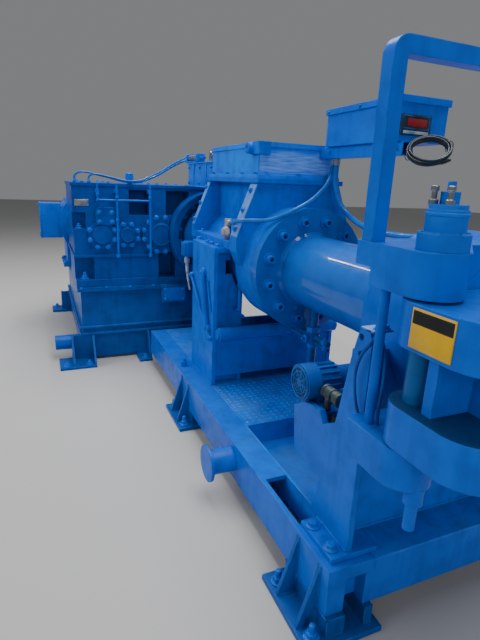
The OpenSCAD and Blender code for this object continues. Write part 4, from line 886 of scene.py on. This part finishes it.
# Dark discs at the bottom of the screws' sockets: painted shade in the hexagon holes.
socket_painted_shade, tree, skin = new_material("socket_painted_shade")
feed(tree, skin["Base Color"], add_mix(tree, add_noise(tree, 90.0), (0, 0.012, 0.06), (0.001, 0.03, 0.13)))
skin["Roughness"].default_value = 0.7
finish_piece([turned_piece([(0.0115, 0), (0.0115, 0.001), (0.010, 0.0012), (0, 0.0012)], spot, downstream, 6)
              for spot in ring_spots(-0.2375, 0.273, 12)], "socket_shade_discs", socket_painted_shade)


# Barrel pedestal: shaped plates with a folded top lip, on foot plates
# The lip catches the light, and its pale coat is painted highlight. Two thin conduits run from it down to the
# lower ear.
dress(plate_enamel, "barrel_pedestal")
lip_top = 1.1285
finish_piece(shaped_box((0.820, -0.470, lip_top - 0.008), (0.884, -0.392, lip_top), 0.002),
             "pedestal_lip", worn_strip)
set_bolts("lip_bolts", 0.011, 0.010, product((0.868,), (-0.440, -0.410), (lip_top,)))
finish_piece([
    tube([(0.905, -0.474, 1.126), (0.901, -0.488, 1.098), (0.868, -0.492, 1.052), (0.848, -0.492, 0.984),
          (0.855, -0.490, 0.912), (0.874, -0.486, 0.858), (0.896, -0.478, 0.830)], 0.0055),
    tube([(0.900, -0.470, 1.128), (0.944, -0.480, 1.112), (0.968, -0.486, 1.060), (0.973, -0.488, 0.980),
          (0.970, -0.488, 0.900), (0.972, -0.486, 0.860)], 0.005)], "ear_conduits",
    make_enamel("conduit_rubber", lumps=0.2, bump=0.1, dust=0.2, rub=0.2, full=(0, 0.055, 0.27),
                thin=(0.001, 0.085, 0.40), shade=(0, 0.012, 0.06), gloss=0.2))
ped_beads = [weld_bead([(0.690, side * 0.471, 0.311), (0.885, side * 0.471, 0.311)], 0.006, f"ped{side}")
             for side in both_sides]
ped_beads.append(weld_bead([(0.801, -0.444, 0.312), (0.801, 0.444, 0.312)], 0.005, "saddle_foot"))
ped_beads.append(weld_bead([(0.801, -0.444, 0.330), (0.801, -0.444, 1.000)], 0.005, "saddle_side"))
finish_piece(ped_beads, "ped_welds", plate_enamel)
set_bolts("ped_foot_bolts", 0.019, 0.016, product((0.730, 0.850), (-0.512, 0.512), (0.310,)))


# Cooling pump on its tank: a small ribbed motor with a slotted fan cowl, and two bronze valves
# The dark disc behind the cowl's slots is painted shade, and the tank, motor and grille take the darker low
# enamel as painted shade. The valves are oily bronze, chipped through their paint.
dress(low_painted_shade_enamel, "pump_tank", "drain_pipe", "pump_motor")
pump_place = Vector((0.512, -0.486, 0.806))
finish_piece(turned_piece([(0.060, 0), (0.060, 0.0012), (0.058, 0.0015), (0, 0.0015)],
                          pump_place, to_near_side), "cowl_painted_shade", socket_painted_shade)
cowl = [turned_piece([(inner, 0.0008), (inner, 0.0042), (outer, 0.0042), (outer, 0.0008), (inner, 0.0008)],
                     pump_place, to_near_side)
        for inner, outer in ((0.0575, 0.0655), (0.0420, 0.0475), (0.0285, 0.0325))]
cowl.append(turned_piece([(0.016, 0.0008), (0.016, 0.0050), (0.010, 0.0056), (0, 0.0058)], pump_place,
                         to_near_side, 24))
for k in range(8):
    bar = shaped_box((-0.0035, -0.0042, 0.012), (0.0035, -0.0008, 0.060), 0.0008, 1)
    bar.data.transform(Matrix.Translation(pump_place) @ Matrix.Rotation(k * math.tau / 8 + 0.2, 4, "Y"))
    cowl.append(bar)
finish_piece(cowl, "cowl_grille", low_painted_shade_enamel)
oily_bronze = make_metal("oily_bronze", (0.07, 0.10, 0.09), rough=0.38, rub=0.9,
                         stain_colour=(0.012, 0.035, 0.06), metallic=0.5)
dress(oily_bronze, "pump_valves")
valve_rings = []
for x0, x1, y, z in ((0.600, 0.700, -0.420, 0.800), (0.640, 0.735, -0.415, 0.690)):
    middle = (x0 + x1) / 2
    for x in (x0 - 0.001, middle - 0.007, x1 - 0.013):
        valve_rings.append(collar(0.0285, 0.0045, 0.002, 0.014, (x, y, z), downstream, 20))
    valve_rings.append(turned_piece([(0.009, 0.016), (0.009, 0.026), (0.013, 0.027), (0.013, 0.031),
                                     (0, 0.032)], (middle, y, z), to_near_side, 14))
finish_piece(valve_rings, "valve_rings", oily_bronze)
drain_x = -0.180
finish_piece([
    turned_piece([(0.034, 0), (0.040, 0.004), (0.041, 0.030), (0.036, 0.034)], (drain_x, 0, 0.752), sides=8),
    collar(0.030, 0.005, 0.004, 0.024, (drain_x, 0, 0.664), sides=8),
    shaped_box((drain_x - 0.018, -0.056, 0.698), (drain_x + 0.018, -0.034, 0.742), 0.005),
    turned_piece([(0.010, 0.0), (0.010, 0.020), (0.006, 0.022)], (drain_x, -0.054, 0.720), to_near_side, 6),
    collar(0.021, 0.003, 0.003, 0.031, (-0.070, 0, 0.730), downstream),
    collar(0.017, 0.003, 0.003, 0.027, (-0.066, 0, 0.697), downstream)], "drain_union", fastener_enamel)


# Head, ears, pin and portal: steel castings round the barrel's end, and a square tube frame over it
# Grease has crept out of the hinge over the pin. The portal's tube is rubbed along its corners.
dress(cast_enamel, "head_block", "upper_ears", "lower_ears", "ear_strut", "ear_fitting")
dress(make_enamel("greasy_pin", lumps=0.4, bump=0.2, dust=0.2, rub=0.5, full=(0, 0.075, 0.26),
                  thin=(0.001, 0.095, 0.30), shade=(0.002, 0.035, 0.09), gloss=0.15), "hinge_pin")
set_bolts("head_bolts", 0.020, 0.017, ring_spots(0.640, 0.285, 10), (-1, 0, 0))
dress(plate_enamel, "portal_frame")
post_back, post_front, post_foot = 0.871, 0.915, 1.403
portal_beads = []
for side in both_sides:
    y0, y1 = side * 0.498, side * 0.542
    portal_beads.append(weld_bead([(x, y, post_foot) for x, y in (
        (post_back, y0), (post_front, y0), (post_front, y1), (post_back, y1), (post_back, y0))],
        0.004, f"portal{side}"))
finish_piece(portal_beads, "portal_welds", plate_enamel)


# Hinge cap: turned collars over the pin with a small block of grease fittings
# Painted steel, with two bright plated fittings screwed in at the top.
cap_enamel = make_enamel("cap_enamel", lumps=0.4, bump=0.25, dust=0.5, rub=0.9, full=(0, 0.095, 0.50),
                         thin=(0.001, 0.13, 0.60))
dress(cap_enamel, "hinge_cap")
pin_x, pin_y = 1.086, -0.460
set_bolts("cap_screws", 0.006, 0.005,
          [(pin_x + 0.057 * math.cos(a), pin_y + 0.057 * math.sin(a), 1.446)
           for a in [k * math.tau / 6 for k in range(6)]])
finish_piece(collar(0.053, 0.003, 0.002, 0.010, (pin_x, pin_y, 1.490), sides=48), "cap_band", cap_enamel)
plated = make_metal("plated_fittings", (0.56, 0.58, 0.60), rough=0.22)
finish_piece([
    turned_piece([(0.009, 0), (0.012, 0.002), (0.012, 0.014), (0.007, 0.016), (0.007, 0.034), (0.010, 0.036),
                  (0.010, 0.046), (0.005, 0.048), (0, 0.0485)], (x, y, 1.514), sides=12)
    for x, y in ((1.110, -0.484), (1.062, -0.488))], "grease_fittings", plated)


# Gate: two heavy arms and the block with the die bore, swung on the pin
# The lower arm's top is black with old grease. A blank yellow sign with a dark band is screwed on.
dress(make_enamel("gate_enamel", lumps=0.7, bump=0.35, dust=0.35, rub=0.7), "gate_upper_arm", "gate_block")
dress(make_enamel("greasy_enamel", lumps=0.7, bump=0.35, dust=1.0, rub=0.5, grime=(0.010, 0.034, 0.060),
                  cover=0.82), "gate_lower_arm")
finish_piece(shaped_box((1.110, -0.5475, 1.168), (1.247, -0.5452, 1.272), 0.0006), "sign_plate",
             make_enamel("sign_yellow", lumps=0.05, bump=0.05, dust=0.0, rub=0.2, full=(0.62, 0.36, 0.006),
                         thin=(0.70, 0.43, 0.012), shade=(0.40, 0.22, 0.01), gloss=0.2), "gate")
finish_piece(shaped_box((1.114, -0.5480, 1.232), (1.243, -0.5474, 1.266), 0.0002, 1), "sign_band",
             make_enamel("sign_dark", lumps=0.05, bump=0.05, dust=0.0, rub=0.2, full=(0.008, 0.009, 0.010),
                         thin=(0.014, 0.015, 0.016), shade=(0.004, 0.004, 0.005), gloss=0.2), "gate")
set_bolts("gate_hub_bolts", 0.018, 0.016, ring_spots(1.376, 0.125, 8), downstream, body="gate")


# Control box: a small sheet box with a lid, on a square tube, with its display on the gate end
# Folded sheet, sprayed over its screws. The display has a dark bezel and a dull red window.
dress(side_enamel, "control_box", "support_rail")
bezel_face = 0.193
finish_piece([shaped_box((0.185, 0.118, 1.781), (0.194, 0.289, 1.868))]
             + [shaped_box((bezel_face, *low), (0.198, *high), 0.001) for low, high in (
                 ((0.126, 1.806), (0.281, 1.810)), ((0.126, 1.857), (0.281, 1.861)),
                 ((0.126, 1.806), (0.134, 1.861)), ((0.273, 1.806), (0.281, 1.861)))],
             "display_bezel",
             make_enamel("bezel_dark", lumps=0.1, bump=0.05, dust=0.3, rub=0.5, full=(0.015, 0.030, 0.045),
                         thin=(0.03, 0.05, 0.07), shade=(0.006, 0.012, 0.02), gloss=0.3))
finish_piece(shaped_box((0.1935, 0.150, 1.817), (0.1965, 0.262, 1.851), 0.001), "display_window",
             make_enamel("red_window", lumps=0.05, bump=0.03, dust=0.0, rub=0.0, full=(0.22, 0.010, 0.016),
                         thin=(0.34, 0.022, 0.030), shade=(0.10, 0.004, 0.008), gloss=0.6))
finish_piece(shaped_box((0.1935, 0.132, 1.787), (0.1955, 0.276, 1.800), 0.0008), "display_keys", greyed)
set_bolts("lid_screws", 0.006, 0.004, product((-0.380, -0.108, 0.165), (0.106,), (1.930,)), to_near_side)
set_bolts("rail_bolts", 0.009, 0.008, [(-0.383, 0.135, 1.728), (0.160, 0.135, 1.728)], to_near_side)


# Coiled cable: a dark rubber lead from the rail's open end, wound into a ring under the display
# It makes three turns on the inner layer and the rest on the outer one, held by two ties, and ends in a
# moulded connector that lies on the turns.
coil_rubber = make_enamel("coil_rubber", lumps=0.1, bump=0.1, dust=0.8, rub=0.1, full=(0.012, 0.018, 0.026),
                          thin=(0.03, 0.045, 0.06), shade=(0.006, 0.008, 0.012), grime=(0.20, 0.26, 0.34),
                          gloss=0.4)
coil_pitch = 0.0103
inner_layer, outer_layer = 0.080, 0.0905
coil_turns = 5.25
inner_turns = 3.0
change_turns = 0.25
turn_steps = 30
coil_middle = Vector((0.285, 0.210, 1.701))
coil_axis = Vector((0.47, -0.45, 0.755)).normalized()
coil_across = Vector((0.69, 0.72, 0.0)).normalized()
coil_up = coil_axis.cross(coil_across)


def coil_way(angle):
    """The way out from the coil's middle at an angle round it."""
    return coil_across * math.cos(angle) + coil_up * math.sin(angle)


coil_route = [Vector(p) for p in ((0.200, 0.165, 1.713), (0.212, 0.165, 1.7125), (0.228, 0.162, 1.707),
                                  (0.244, 0.153, 1.694), (0.260, 0.142, 1.677))]
for k in range(int(coil_turns * turn_steps) + 1):
    turned = k / turn_steps
    outward = min(max((turned - inner_turns) / change_turns, 0.0), 1.0)
    layer = inner_layer + (outer_layer - inner_layer) * outward ** 2 * (3 - 2 * outward)
    along = coil_pitch * (min(turned, inner_turns) - max(turned - inner_turns - change_turns, 0.0))
    coil_route.append(coil_middle + coil_way(math.radians(225) + turned * math.tau) * layer
                      + coil_axis * along)
cable_r = 0.0048
cable = draw_line("coiled_cable", coil_route, cable_r, 2)
cable.data.materials.append(coil_rubber)
connector = finish_piece(
    turned_piece([(0.0050, -0.014), (0.0062, -0.006), (0.0090, 0.000), (0.0090, 0.022), (0.0078, 0.024),
                  (0.0078, 0.038), (0.0050, 0.040), (0, 0.040)],
                 coil_route[-1], (coil_route[-1] - coil_route[-2]).normalized(), 16),
    "cable_connector", coil_rubber)
declare_cord(cable)
ties = []
for degrees in (200, 20):
    out_way = coil_way(math.radians(degrees))
    middle = coil_middle + out_way * 0.085 + coil_axis * coil_pitch * 1.5
    loop = [middle + out_way * (0.0165 * math.cos(a)) + coil_axis * (0.0275 * math.sin(a))
            for a in [k * math.tau / 16 for k in range(17)]]
    ties.append(tube(loop, 0.0015, 1, 2))
finish_piece(ties, "coil_ties", coil_rubber)


# Hoses again: their coat and their fittings
# The rubber was sprayed with the machine, so it is blue and soft-edged. The fittings are plated steel.
hose_enamel = make_enamel("hose_enamel", lumps=0.25, bump=0.15, dust=0.25, rub=0.3, full=(0, 0.090, 0.42),
                          thin=(0.003, 0.150, 0.58), shade=(0, 0.035, 0.18), gloss=0.35)
for hose in (valve_hose, head_hose, air_hose_near, air_hose_far):
    hose.data.materials.append(hose_enamel)
dress(plated, "hose_fittings")
